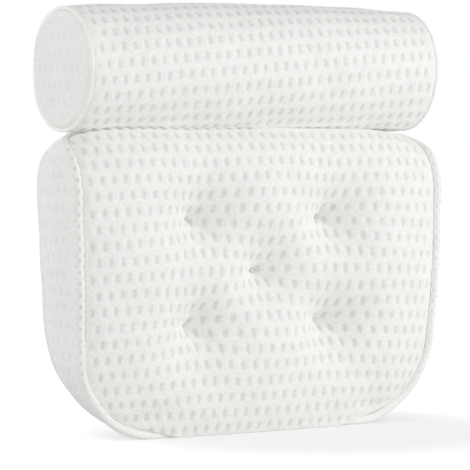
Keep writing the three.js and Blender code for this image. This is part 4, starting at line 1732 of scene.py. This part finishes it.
@dataclass
class NeckRoll:
    """The round roll: wrap, end caps, end welts and filling."""

    seams: PadSeams = field(default_factory=PadSeams)
    length: float = 365.0
    end_radius: float = 52.8
    middle_radius: float = 57.0
    setback: float = 0.0
    gap: float = 0.3
    welt_radius: float = 2.0
    cap_dome: float = 5.4
    cap_shoulder: float = 4.0
    droop: float = 4.7
    droop_power: float = 1.3
    belly: float = 4.5
    belly_power: float = 1.5
    left_fill: float = 1.3
    flat_reach: float = 157.0
    end_swell: float = 9.0
    crease: tuple[float, float] = (1.6, 3.4)
    fabric: float = 3.0
    wall: float = 2.4
    rows_round: int = 24
    dimple_pitch: float = 10.7
    dimple_half_height: float = 4.7
    skew: float = math.radians(4)
    relaxing: Relaxation = Relaxation(pressure=2.0, cap=1.2, frames=14)
    wrap_wave: Ripple = Ripple(0.7, (66.0, 91.0, 49.0), 41)
    wrap_pucker: Ripple = Ripple(0.4, (14.0, 10.5, 18.0), 43)
    wrap_tuck: float = 2.0
    # From an end seam inwards, the waves begin and the puckers and the tuck die away.
    wave_start: float = 20.0
    pucker_reach: float = 9.0
    tuck_reach: float = 2.6
    flat_margin: float = 6.0
    cap_crown: float = 1.2
    cap_pucker: Ripple = Ripple(0.5, (13.0, 19.0, 27.0), 51)
    cap_wave: Ripple = Ripple(0.5, (47.0, 61.0), 53)
    cap_pucker_reach: float = 14.0
    cap_wave_start: float = 12.0
    cap_margin: tuple[float, float] = (4.0, 8.0)
    cap_inset: float = 0.8
    cap_lattice: DimpleLattice = DimpleLattice(depth=0.7)
    cap_strength: float = 0.25
    filling_gap: float = 2.0

    @property
    def axis(self) -> tuple[float, float]:
        """Y and Z of the roll's axis."""
        return self.seams.middle + self.setback, self.seams.height + self.gap + self.middle_radius

    @property
    def flat(self) -> float:
        """From the axis to the flat that is pressed into the roll's back."""
        return self.seams.depth / 2 + self.seams.piping_radius - self.setback

    def radius(self, x: Array) -> Array:
        """Radius of the roll along its length."""
        share = 2 * x / self.length
        taper = (self.middle_radius - self.end_radius) * share**2
        return self.middle_radius - taper + self.left_fill * np.clip(-share, 0, 1) ** 2

    def ring(self, x: Array, angle: Array, sink: Array | float = 0.0) -> Array:
        """Points of the roll's surface.

        Args:
            x: Places along the roll.
            angle: Angles round the axis, from the back and over the top.
            sink: Depth under the surface.

        Returns:
            Places by x and angle.
        """
        y0, z0 = self.axis
        under = np.broadcast_to(np.asarray(sink, float), (len(x), 1))
        radius = self.radius(x)[:, None] - under
        deep = radius * np.cos(angle)[None]
        free = ease((np.abs(x)[:, None] - self.flat_reach) / (self.length / 2 - self.flat_reach))
        limit = self.flat - under + self.end_swell * free
        soft = self.crease[0] + self.crease[1] * free
        deep = -soft * np.logaddexp(-deep / soft, -limit / soft)
        tall = radius * np.sin(angle)[None]
        share = x[:, None] / self.length
        full = self.belly * np.clip(2 * share, 0, 1) ** self.belly_power
        tall = tall + full * np.minimum(np.sin(angle), 0)[None]
        tall = tall - self.droop * np.clip(0.5 - share, 0, 1) ** self.droop_power
        return np.stack([np.repeat(x[:, None], len(angle), axis=1), y0 + deep, z0 + tall], axis=2)

    def build_wrap(self) -> None:
        """Makes the wrap: cloth relaxed between its end seams, then pressed with dimples."""
        end = self.length / 2 - self.welt_radius * 1.6
        coarse = self.ring(np.linspace(-end, end, 64), angles(72))
        held = np.zeros(coarse.shape[:2], bool)
        held[[0, -1], :] = True
        held[:, range(-4, 5)] = True
        relaxed = self.relaxing.settle(coarse, held, round_columns=True)
        rows, count = 204, 214
        grid = refine(relaxed, rows, count, round_columns=True)
        x = np.linspace(-end, end, rows)
        edge = np.minimum(x + end, end - x)
        angle = angles(count)
        around = angle[None] * self.middle_radius + np.zeros((rows, 1))
        along = np.repeat(x[:, None], count, axis=1)
        soft = self.wrap_wave.at(along, around) * np.minimum(edge / self.wave_start, 1)[:, None]
        soft += self.wrap_pucker.at(along * 0.1, around) * np.exp(-edge / self.pucker_reach)[:, None]
        soft -= self.wrap_tuck * np.exp(-edge / self.tuck_reach)[:, None]
        margin = self.flat_margin
        front = np.clip((self.flat - margin - (grid[..., 1] - self.axis[0])) / margin, 0, 1)
        grid[..., 1] += soft * np.cos(angle)[None] * front
        grid[..., 2] += soft * np.sin(angle)[None] * front
        pitch = TAU * self.middle_radius / self.rows_round
        cloth = np.stack([along, around + along * math.tan(self.skew)], axis=2)
        fade = np.repeat(np.clip((edge - 2) / 4, 0, 1)[:, None], count, axis=1)
        faces = quads(rows, count, round_columns=True)
        piece = make_piece("roll_cover", grid, faces[:, ::-1], COVER, cloth, fade)
        DimpleLattice(self.dimple_pitch, pitch, half_height=self.dimple_half_height).press(piece, COVER)
        thicken(piece, self.wall)
        dress(piece, Body.ROLL.value, COVER, "roll_wrap")

    def build_end(self, side: int) -> None:
        """Makes one end cap and its welt.

        Args:
            side: -1 for the left end and 1 for the right end.
        """
        name = "left" if side < 0 else "right"
        end = self.length / 2 - self.welt_radius
        count, steps = 168, 34
        angle = angles(count)
        rim = self.ring(np.array([side * end]), angle, 2 * self.welt_radius - 0.3)[0]
        share = 1 - 0.98 * np.linspace(0, 1, steps)[:, None] ** 1.5
        spots = np.empty((steps, count, 3))
        y0, z0 = rim[:, 1].mean(), rim[:, 2].mean()
        spots[..., 1] = y0 + (rim[None, :, 1] - y0) * share
        spots[..., 2] = z0 + (rim[None, :, 2] - z0) * share
        edge = (1 - share) * self.end_radius
        shoulder = np.clip(1 - edge / self.cap_shoulder, 0, 1)
        rise = self.cap_dome - self.cap_crown
        dome = rise * np.sqrt(1 - shoulder**2) + self.cap_crown * (1 - share**2)
        pucker = self.cap_pucker.at(angle[None] * 50 + 0 * share, 0.1 * edge + 0 * angle[None])
        dome = dome + pucker * np.exp(-edge / self.cap_pucker_reach) * (1 - shoulder)
        sunk = np.abs(self.cap_wave.at(spots[..., 1], spots[..., 2]))
        dome = dome - sunk * np.minimum(edge / self.cap_wave_start, 1)
        spots[..., 0] = side * (end - self.cap_inset + dome)
        tip = np.array([[side * (end + rise), y0, z0]])
        points = np.concatenate([spots.reshape(-1, 3), tip])
        faces = quads(steps, count, round_columns=True).tolist()
        faces += fan((steps - 1) * count, count, len(points) - 1)
        if side > 0:
            faces = [f[::-1] for f in faces]
        plain, blend = self.cap_margin
        shown = self.cap_strength * np.clip((edge - plain) / blend, 0, 1)
        fade = np.concatenate([np.repeat(shown, count, axis=1).ravel(), [self.cap_strength]])
        piece = make_piece(f"roll_{name}_end", points, faces, COVER, points[:, 1:] - [y0, z0], fade)
        self.cap_lattice.press(piece, COVER)
        thicken(piece, self.wall)
        dress(piece, Body.ROLL.value, COVER, f"roll_{name}_cap")
        self.build_welt(name, side * end)

    def build_welt(self, name: str, x: float) -> None:
        """Makes the thin welt round one end.

        Args:
            name: Left or right.
            x: Place of the welt along the roll.
        """
        count, sides = 360, 12
        angle = angles(count)
        centres = self.ring(np.array([x]), angle, self.welt_radius)[0]
        over = np.tile([1.0, 0, 0], (count, 1))
        radii = (self.welt_radius * 0.85, self.welt_radius * 0.65)
        rings = tube(centres, np.cross(headings(centres), over), over, radii, sides)
        cloth = strip_cloth(np.arange(sides) * 1.0, angle * self.end_radius)
        faces = turn_outwards(rings, quads(count, sides, round_rows=True, round_columns=True))
        welt = make_piece(f"roll_{name}_welt", rings, faces, WELT_HIGHLIGHT, cloth)
        dress(welt, Body.ROLL.value, WELT_HIGHLIGHT, f"roll_{name}_piping")

    def build_filling(self) -> None:
        """Makes the fibre filling inside the roll."""
        gap, count = self.fabric + self.filling_gap, 60
        end = self.length / 2 - self.welt_radius - gap
        x = np.concatenate([[-end], np.linspace(-end, end, 40), [end]])
        sink = np.full((len(x), 1), gap)
        sink[[0, -1]] = self.middle_radius * 0.5
        grid = self.ring(x, angles(count), sink)
        y0, z0 = self.axis
        points = np.concatenate([grid.reshape(-1, 3), [[-end - 2, y0, z0], [end + 2, y0, z0]]])
        faces = quads(len(x), count, round_columns=True)[:, ::-1].tolist()
        last, total = (len(x) - 1) * count, len(points)
        for k in range(count):
            faces.append([k, (k + 1) % count, total - 2][::-1])
            faces.append([last + k, last + (k + 1) % count, total - 1])
        piece = make_piece("roll_fibre", points, faces, FILLING)
        dress(piece, Body.ROLL.value, FILLING, "roll_filling")

    def build(self) -> None:
        """Makes the whole roll."""
        self.build_wrap()
        self.build_end(-1)
        self.build_end(1)
        self.build_filling()


@dataclass
class FoldingWeb:
    """The cloth strip behind pad and roll that the roll turns on."""

    thickness: float = 2.0
    bend: float = 5.0
    calm: float = 8.0
    seam_insets: tuple[float, float] = (3.5, 8.0)
    seam_reach: float = 15.0
    groove_depth: float = 0.8
    groove_width: float = 1.2
    wave: Ripple = Ripple(0.1, (31.0, 47.0), 61)

    def seam_line(self, edges: tuple[float, float], end: float, way: float, inset: float) -> Array:
        """One row of sewing: down one side of a leaf, along its end and up the other side.

        Args:
            edges: X of the strip's two sides.
            end: Height of the leaf's end.
            way: 1 where the leaf lies above its end, -1 where it lies below.
            inset: From the strip's edge to the sewing.

        Returns:
            X and Z of points along the row.
        """
        left, right = edges[0] + inset, edges[1] - inset
        sewn, far = end + way * inset, end + way * self.seam_reach
        return resample(np.array([(left, far), (left, sewn), (right, sewn), (right, far)]), 200)

    def build(self) -> None:
        """Makes the strip in one piece, without waves near the fold, and its stitches."""
        low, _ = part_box("web_lower_leaf")
        _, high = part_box("web_upper_leaf")
        fold = Vector(joint_place("roll_fold") * MM)
        x = np.linspace(low.x, high.x, 260) / MM
        z = np.linspace(low.z, high.z, 110) / MM
        y = high.y / MM
        grid = np.stack(np.broadcast_arrays(x[:, None], y, z[None, :]), axis=2).astype(float)
        flat = np.abs(grid[..., 2] - fold.z / MM) > self.calm
        grid[..., 1] += self.wave.at(grid[..., 0], grid[..., 2]) * flat
        leaves = (
            ("web_lower_stitches", z[0], 1.0, Body.PAD),
            ("web_upper_stitches", z[-1], -1.0, Body.ROLL),
        )
        for name, end, way, body in leaves:
            rows = [self.seam_line((x[0], x[-1]), end, way, inset) for inset in self.seam_insets]
            for row in rows:
                away = np.full(grid.shape[:2], np.inf)
                for spot in row:
                    away = np.minimum(away, np.hypot(grid[..., 0] - spot[0], grid[..., 2] - spot[1]))
                grid[..., 1] -= self.groove_depth * np.exp(-((away / self.groove_width) ** 2))
            bed = y - self.groove_depth / 2
            lines = [np.stack([row[:, 0], np.full(len(row), bed), row[:, 1]], axis=1) for row in rows]
            sew(name, lines, body, pitch=5.4, length=4.2, thickness=1.1)
        piece = make_piece("folding_web", grid, quads(len(x), len(z))[:, ::-1], TAPE, grid[..., [0, 2]])
        thicken(piece, self.thickness - self.groove_depth)
        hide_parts("web_lower_leaf", "web_upper_leaf")
        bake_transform(piece)
        log.info("made folding_web for web_lower_leaf, web_upper_leaf")


@dataclass
class SuctionMount:
    """One suction cup with its eyelet and its cloth pocket."""

    name: str
    body: Body
    cup_radius: float = 28.0
    cup_depth: float = 13.0
    shoulder: float = 9.3
    stem_radius: float = 4.0
    knob_radius: float = 8.0
    knob_foot: float = 0.6
    knob_thickness: float = 3.5
    patch_radius: float = 24.0
    pocket_wall: float = 16.0
    roof: float = 5.9
    patch_thickness: float = 1.6
    patch_lift: float = 0.3
    sewing_radius: float = 21.0
    gathers: tuple[int, float] = (14, 0.18)
    gather_start: float = 12.0
    gather_fades: tuple[float, float] = (4.0, 3.0)
    eyelet_bore: float = 4.4
    eyelet_levels: tuple[float, ...] = (4.4, 5.6, 7.8, 9.0)
    flange_width: float = 3.5
    groove_depth: float = 2.3
    bell_root: float = 7.5
    bell_power: float = 1.6
    ridges: tuple[tuple[float, float, float], ...] = ((19.0, 0.9, 0.45), (23.0, 0.7, 0.3))
    lip: float = 2.0
    crown_wall: float = 4.4

    def cup_profile(self) -> Profile:
        """Radius and height of the cup from the knob over the bell and back inside."""
        top, rim = self.knob_foot + self.knob_thickness, self.shoulder + self.cup_depth
        root = self.bell_root
        corners = [
            (0.0, self.knob_foot),
            (self.knob_radius, self.knob_foot),
            (self.knob_radius, top),
            (self.stem_radius, top),
            (self.stem_radius, self.shoulder),
            (root, self.shoulder + 0.02),
        ]
        share = np.linspace(0.03, 1, 26)
        radii = root + (self.cup_radius - root) * share
        heights = self.shoulder + self.cup_depth * share**self.bell_power
        for middle, width, height in self.ridges:
            heights -= height * np.exp(-(((radii - middle) / width) ** 2))
        mouth, hollow = self.cup_radius - self.lip, self.shoulder + self.crown_wall
        inside = [(mouth * s, hollow + (rim - hollow) * s**2.2) for s in np.linspace(1, 0, 24)]
        return rounded(corners, 0.9, 4, closed=False) + list(zip(radii, heights)) + inside

    def build(self) -> None:
        """Makes the cup, its eyelet and its pocket."""
        at = joint_place(f"{self.name}_swivel")
        points, faces, _ = lathe(self.cup_profile(), 72, closed=False)
        cup = make_piece(f"{self.name}_vinyl_cup", points + at, faces, VINYL)
        weld(cup)
        dress(cup, f"{self.name}_suction", VINYL, f"{self.name}_cup")
        bore, flange = self.eyelet_bore, self.eyelet_bore + self.flange_width
        groove = flange - self.groove_depth
        foot, low, high, top = self.eyelet_levels
        ring = [(bore, foot), (flange, foot), (flange, low), (groove, low)]
        ring += [(groove, high), (flange, high), (flange, top), (bore, top)]
        points, faces, _ = lathe(rounded(ring, 0.5, 4, closed=True), 56, closed=True)
        eyelet = make_piece(f"{self.name}_moulded_eyelet", points + at, faces, PLASTIC)
        dress(eyelet, self.body.value, PLASTIC, f"{self.name}_eyelet")
        self.build_pocket(at, groove + 0.3)

    def build_pocket(self, at: Array, hole: float) -> None:
        """Makes the cloth pocket and its sewing.

        Args:
            at: Where the cup's axis meets the cloth.
            hole: Radius of the hole that the eyelet grips.
        """
        thick, edge = self.patch_thickness, self.pocket_wall - self.patch_thickness
        low, roof = self.patch_lift, self.roof
        cloth = [
            (self.pocket_wall, low),
            (self.patch_radius, low),
            (self.patch_radius, low + thick),
            (self.pocket_wall + thick, low + thick),
            (edge + thick, roof + thick),
            (hole, roof + thick),
            (hole, roof),
            (edge, roof),
        ]
        points, faces, _ = lathe(rounded(cloth, 0.7, 4, closed=True), 96, closed=True)
        angle = np.arctan2(points[:, 2], points[:, 0])
        out = np.hypot(points[:, 0], points[:, 2])
        count, height = self.gathers
        rise, fall = self.gather_fades
        between = np.clip((out - self.gather_start) / rise, 0, 1)
        between *= np.clip((self.sewing_radius - out) / fall, 0, 1)
        points[:, 1] += height * np.sin(angle * count) * between
        pocket = make_piece(f"{self.name}_cloth_pocket", points + at, faces, TAPE, points[:, [0, 2]])
        dress(pocket, self.body.value, TAPE, f"{self.name}_pocket")
        loop, sewn = np.linspace(0, TAU, 121), self.sewing_radius
        line = np.stack([sewn * np.cos(loop), np.full_like(loop, low + thick), sewn * np.sin(loop)], axis=1)
        sew(f"{self.name}_pocket_stitches", [line + at], self.body, pitch=3.8, length=2.7)


@dataclass
class HangingHook:
    """The webbing loop on the roll's back and the moulded hook that hangs in it."""

    loop_width: float = 14.0
    loop_thickness: float = 1.4
    eye: float = 3.3
    tail: float = 18.0
    plate: float = 4.0
    bar: float = 4.0
    leg: float = 3.5
    side_clearance: float = 0.6
    window: float = 2.0
    neck: float = 3.5
    throat: float = 7.0
    rim: float = 5.0
    mouth: tuple[float, float] = (95.0, 210.0)
    edge_radius: float = 0.7
    lap_gap: float = 0.15
    box_half: float = 5.0
    box_levels: tuple[float, float] = (8.0, 15.5)
    at: Array = field(default_factory=lambda: joint_place("hook_swing"))

    def build_loop(self) -> None:
        """Makes the tape: down from its sewn end, round the eye and back up on itself."""
        middle = self.eye + self.loop_thickness / 2
        turn = np.linspace(math.pi, math.pi + TAU * 0.93, 60)
        line = [(-middle, h) for h in np.linspace(self.tail, 0.6, 16)]
        line += [(middle * math.cos(a), middle * math.sin(a)) for a in turn]
        last = np.array(line[-1])
        goal = np.array([-middle + self.loop_thickness + self.lap_gap, 5.5])
        line += [tuple(last + (goal - last) * (3 * t**2 - 2 * t**3)) for t in np.linspace(0.2, 1, 6)]
        line += [(goal[0], h) for h in np.linspace(7, self.tail - 1, 10)]
        path = resample(np.array(line), 150)
        along = np.gradient(path, axis=0)
        along /= np.linalg.norm(along, axis=1, keepdims=True)
        out = np.stack([along[:, 1], -along[:, 0]], axis=1)
        half = self.loop_width / 2
        across = np.array([-half, -half + 0.5, *np.linspace(-half + 1.2, half - 1.2, 12), half - 0.5, half])
        swell = self.loop_thickness / 2 * np.sqrt(np.clip(1 - (np.abs(across) / (half + 0.15)) ** 8, 0.02, 1))
        around = np.concatenate([across, across[::-1]])
        rise = np.concatenate([swell, -swell[::-1]])
        rings = np.empty((len(path), len(around), 3))
        rings[..., 0] = around[None]
        rings[..., 1] = path[:, None, 0] + out[:, None, 0] * rise[None]
        rings[..., 2] = path[:, None, 1] + out[:, None, 1] * rise[None]
        cloth = strip_cloth(around, run_along(path))
        count = len(around)
        drawn = quads(len(path), count, round_columns=True)
        sides = turn_outwards(rings, drawn)
        lids = [list(range(count)), list(range((len(path) - 1) * count, len(path) * count))[::-1]]
        if not np.array_equal(sides[0], drawn[0]):
            lids = [lid[::-1] for lid in lids]
        piece = make_piece("webbing_loop", rings.reshape(-1, 3) + self.at, sides.tolist() + lids, TAPE, cloth)
        dress(piece, Body.ROLL.value, TAPE, "hanging_loop")
        top = -middle + self.loop_thickness * 1.5 + 0.2
        wide, (low, high) = self.box_half, self.box_levels
        box = [(-wide, low), (wide, low), (wide, high), (-wide, high), (-wide, low)]
        sewn = []
        for row in (box, [box[0], box[2]], [box[1], box[3]]):
            sewn.append(np.array([(x, top, z) for x, z in row]) + self.at)
        sew("loop_stitches", sewn, Body.ROLL, pitch=1.9, length=1.5)

    def build_hook(self) -> None:
        """Makes the moulded hook with rounded edges."""
        top, inner = self.bar / 2, self.loop_width / 2 + self.side_clearance
        side = inner + self.leg
        sill = -(self.eye + self.loop_thickness) - self.window
        base = sill - self.neck
        outer = max(self.throat + self.rim, side + 0.3)
        centre = base - self.throat
        start, tip = (math.radians(a) for a in self.mouth)
        inside = np.linspace(start, tip - TAU, 48)
        outside = np.linspace(tip - TAU, math.acos(side / outer), 56)
        nose = (self.throat + outer) / 2
        cap = [
            (
                nose * math.cos(tip) + (outer - nose) * math.cos(tip + math.pi + a),
                centre + nose * math.sin(tip) + (outer - nose) * math.sin(tip + math.pi + a),
            )
            for a in np.linspace(0, -math.pi, 10)[1:-1]
        ]
        edge = rounded([(-side, base), (-side, top), (side, top)], 2.0, 6, closed=False)[1:-1]
        shape = [(-side, base + 1.5), *edge, (side, top - 2.5)]
        shape += [(outer * math.cos(a), centre + outer * math.sin(a)) for a in outside[::-1]]
        shape += cap[::-1]
        shape += [(self.throat * math.cos(a), centre + self.throat * math.sin(a)) for a in inside[::-1]]
        hole = rounded([(-inner, -top), (inner, -top), (inner, sill), (-inner, sill)], 1.0, 5, closed=True)
        curve = bpy.data.curves.new("hook_outline", "CURVE")
        curve.dimensions = "2D"
        curve.fill_mode = "BOTH"
        curve.extrude = (self.plate / 2 - self.edge_radius) * MM
        curve.bevel_depth = self.edge_radius * MM
        curve.bevel_resolution = 3
        curve.offset = -self.edge_radius * MM
        for loop in (shape, hole):
            spline = curve.splines.new("POLY")
            spline.points.add(len(loop) - 1)
            for point, (px, pz) in zip(spline.points, loop):
                point.co = (px * MM, pz * MM, 0.0, 1.0)
            spline.use_cyclic_u = True
        drawn = show("hook_outline", curve)
        bpy.context.view_layer.update()
        graph = bpy.context.evaluated_depsgraph_get()
        mesh = bpy.data.meshes.new_from_object(drawn.evaluated_get(graph), depsgraph=graph)
        spots = np.empty(len(mesh.vertices) * 3)
        mesh.vertices.foreach_get("co", spots)
        spots = spots.reshape(-1, 3) / MM
        faces = [list(p.vertices) for p in mesh.polygons]
        bpy.data.objects.remove(drawn)
        bpy.data.curves.remove(curve)
        bpy.data.meshes.remove(mesh)
        points = np.stack([spots[:, 0], -spots[:, 2], spots[:, 1]], axis=1) + self.at
        piece = make_piece("moulded_hook", points, faces, PLASTIC)
        weld(piece, reach=0.01)
        dress(piece, Body.HOOK.value, PLASTIC, "hanging_hook")

    def build(self) -> None:
        """Makes the loop and the hook."""
        self.build_loop()
        self.build_hook()


@dataclass(frozen=True)
class Lamp:
    """One square soft lamp: its place and its side in metres, and its power in watts."""

    name: str
    spot: tuple[float, float, float]
    side: float
    power: float


@dataclass
class Studio:
    """A white table, soft light that is strongest from the front right, and the photograph's camera."""

    azimuth: float = -33.0
    distance: float = 2360.0
    eye_height: float = 262.0
    horizon: float = 134.5
    axis_column: float = 240.0
    focal: float = 2654.0
    frame_size: float = 470.0
    sensor: float = 36.0
    ambient: float = 0.65
    aim: tuple[float, float, float] = (0.0, 0.0, 0.2)
    lamps: tuple[Lamp, ...] = (
        Lamp("key", (1.6, -1.8, 0.35), 1.0, 26.0),
        Lamp("fill", (-2.2, -1.3, 0.3), 1.6, 13.0),
        Lamp("side", (-2.45, 0.75, 0.3), 1.6, 8.0),
        Lamp("rear", (-0.35, 2.5, 0.8), 1.4, 12.5),
    )
    table_grey: float = 0.64
    table_glow: float = 0.10
    table_white: float = 0.57
    shade_spot: tuple[float, float, float] = (0.05, -0.06, 0.0)
    shade_reach: tuple[float, float] = (0.12, 0.28)
    shade_white: float = 0.27
    table_half: float = 6.0
    depth_line: float = field(default_factory=lambda: PadSeams().middle)

    def build_camera(self) -> None:
        """Places the camera by the photograph's horizon and the object's axis."""
        turn = math.radians(self.azimuth)
        right = np.array([math.cos(turn), math.sin(turn)])
        back = np.array([math.sin(turn), -math.cos(turn)])
        aside = (self.axis_column - self.frame_size / 2) * self.distance / self.focal
        spot = back * self.distance - right * aside + [0, self.depth_line]
        dip = math.atan((self.frame_size / 2 - self.horizon) / self.focal)
        lens = bpy.data.cameras.new("photo_camera")
        lens.sensor_width = self.sensor
        lens.lens = self.focal / self.frame_size * self.sensor
        lens.clip_start, lens.clip_end = 0.05, 50.0
        camera = show("photo_camera", lens)
        camera.location = (spot[0] * MM, spot[1] * MM, self.eye_height * MM)
        ahead = Vector((-back[0] * math.cos(dip), -back[1] * math.cos(dip), -math.sin(dip)))
        camera.rotation_euler = ahead.to_track_quat("-Z", "Y").to_euler()
        bpy.context.scene.camera = camera

    def build_floor(self) -> None:
        """Lays the white table that the pillow stands on."""
        mesh = bpy.data.meshes.new("table")
        half, grey = self.table_half, self.table_grey
        corners = [(-half, -half, 0), (half, -half, 0), (half, half, 0), (-half, half, 0)]
        mesh.from_pydata(corners, [], [(0, 1, 2, 3)])
        white = bpy.data.materials.new("table_white")
        white.use_nodes = True
        tree = white.node_tree
        shader = next(n for n in tree.nodes if n.type == "BSDF_PRINCIPLED")
        feed(tree, shader, {"Base Color": (grey, grey, grey, 1.0), "Roughness": 0.9})
        feed(tree, shader, {"Specular IOR Level": 0.1, "Emission Color": (1.0, 1.0, 1.0, 1.0)})
        path = add_node(tree, "ShaderNodeLightPath")
        place = add_node(tree, "ShaderNodeTexCoord")
        # Painted glow: the table's camera-only glow burns it out to white a little way from the pillow and is
        # weaker near it, so the floor there is painted darker and keeps its soft shadow.
        away = add_node(
            tree,
            "ShaderNodeVectorMath",
            {0: place.outputs["Object"], 1: self.shade_spot},
            operation="DISTANCE",
        )
        limits = {"From Min": self.shade_reach[0], "From Max": self.shade_reach[1]}
        limits |= {"To Min": self.shade_white, "To Max": self.table_white}
        white_out = add_node(
            tree,
            "ShaderNodeMapRange",
            {"Value": away.outputs["Value"]} | limits,
            interpolation_type="SMOOTHSTEP",
        )
        glow = add_node(
            tree,
            "ShaderNodeMath",
            {0: path.outputs["Is Camera Ray"], 1: white_out.outputs["Result"], 2: self.table_glow},
            operation="MULTIPLY_ADD",
        )
        feed(tree, shader, {"Emission Strength": glow.outputs["Value"]})
        mesh.materials.append(white)
        show("table", mesh)

    def build_light(self) -> None:
        """Lights the set: an even white surround and large soft lamps."""
        scene = bpy.context.scene
        scene.view_settings.view_transform = "Standard"
        scene.view_settings.look = "None"
        world = bpy.data.worlds.new("white_surround")
        scene.world = world
        world.use_nodes = True
        tree = world.node_tree
        tree.nodes.clear()
        cast, seen = [
            add_node(tree, "ShaderNodeBackground", {"Color": (1, 1, 1, 1), "Strength": strength})
            for strength in (self.ambient, 1.0)
        ]
        path = add_node(tree, "ShaderNodeLightPath")
        both = add_node(
            tree,
            "ShaderNodeMixShader",
            {0: path.outputs["Is Camera Ray"], 1: cast.outputs[0], 2: seen.outputs[0]},
        )
        add_node(tree, "ShaderNodeOutputWorld", {"Surface": both.outputs["Shader"]})
        for lamp in self.lamps:
            light = bpy.data.lights.new(lamp.name, "AREA")
            light.shape = "SQUARE"
            light.size = lamp.side
            light.energy = lamp.power
            placed = show(lamp.name, light)
            placed.location = lamp.spot
            ahead = Vector(self.aim) - Vector(lamp.spot)
            placed.rotation_euler = ahead.to_track_quat("-Z", "Y").to_euler()

    def build(self) -> None:
        """Makes camera, table and light."""
        self.build_camera()
        self.build_floor()
        self.build_light()


def main() -> None:
    """Builds the set and every piece of the pillow."""
    logging.basicConfig(level=logging.INFO, format="%(name)s: %(message)s")
    for spare in [o for o in bpy.context.scene.objects if o.type in ("CAMERA", "LIGHT")]:
        bpy.data.objects.remove(spare)
    Studio().build()
    BackPad().build()
    NeckRoll().build()
    FoldingWeb().build()
    for name in ("pad_upper_left", "pad_upper_right", "pad_lower_left", "pad_lower_right"):
        SuctionMount(name, Body.PAD).build()
    for name in ("roll_left", "roll_right"):
        SuctionMount(name, Body.ROLL).build()
    HangingHook().build()


if __name__ == "__main__":
    main()
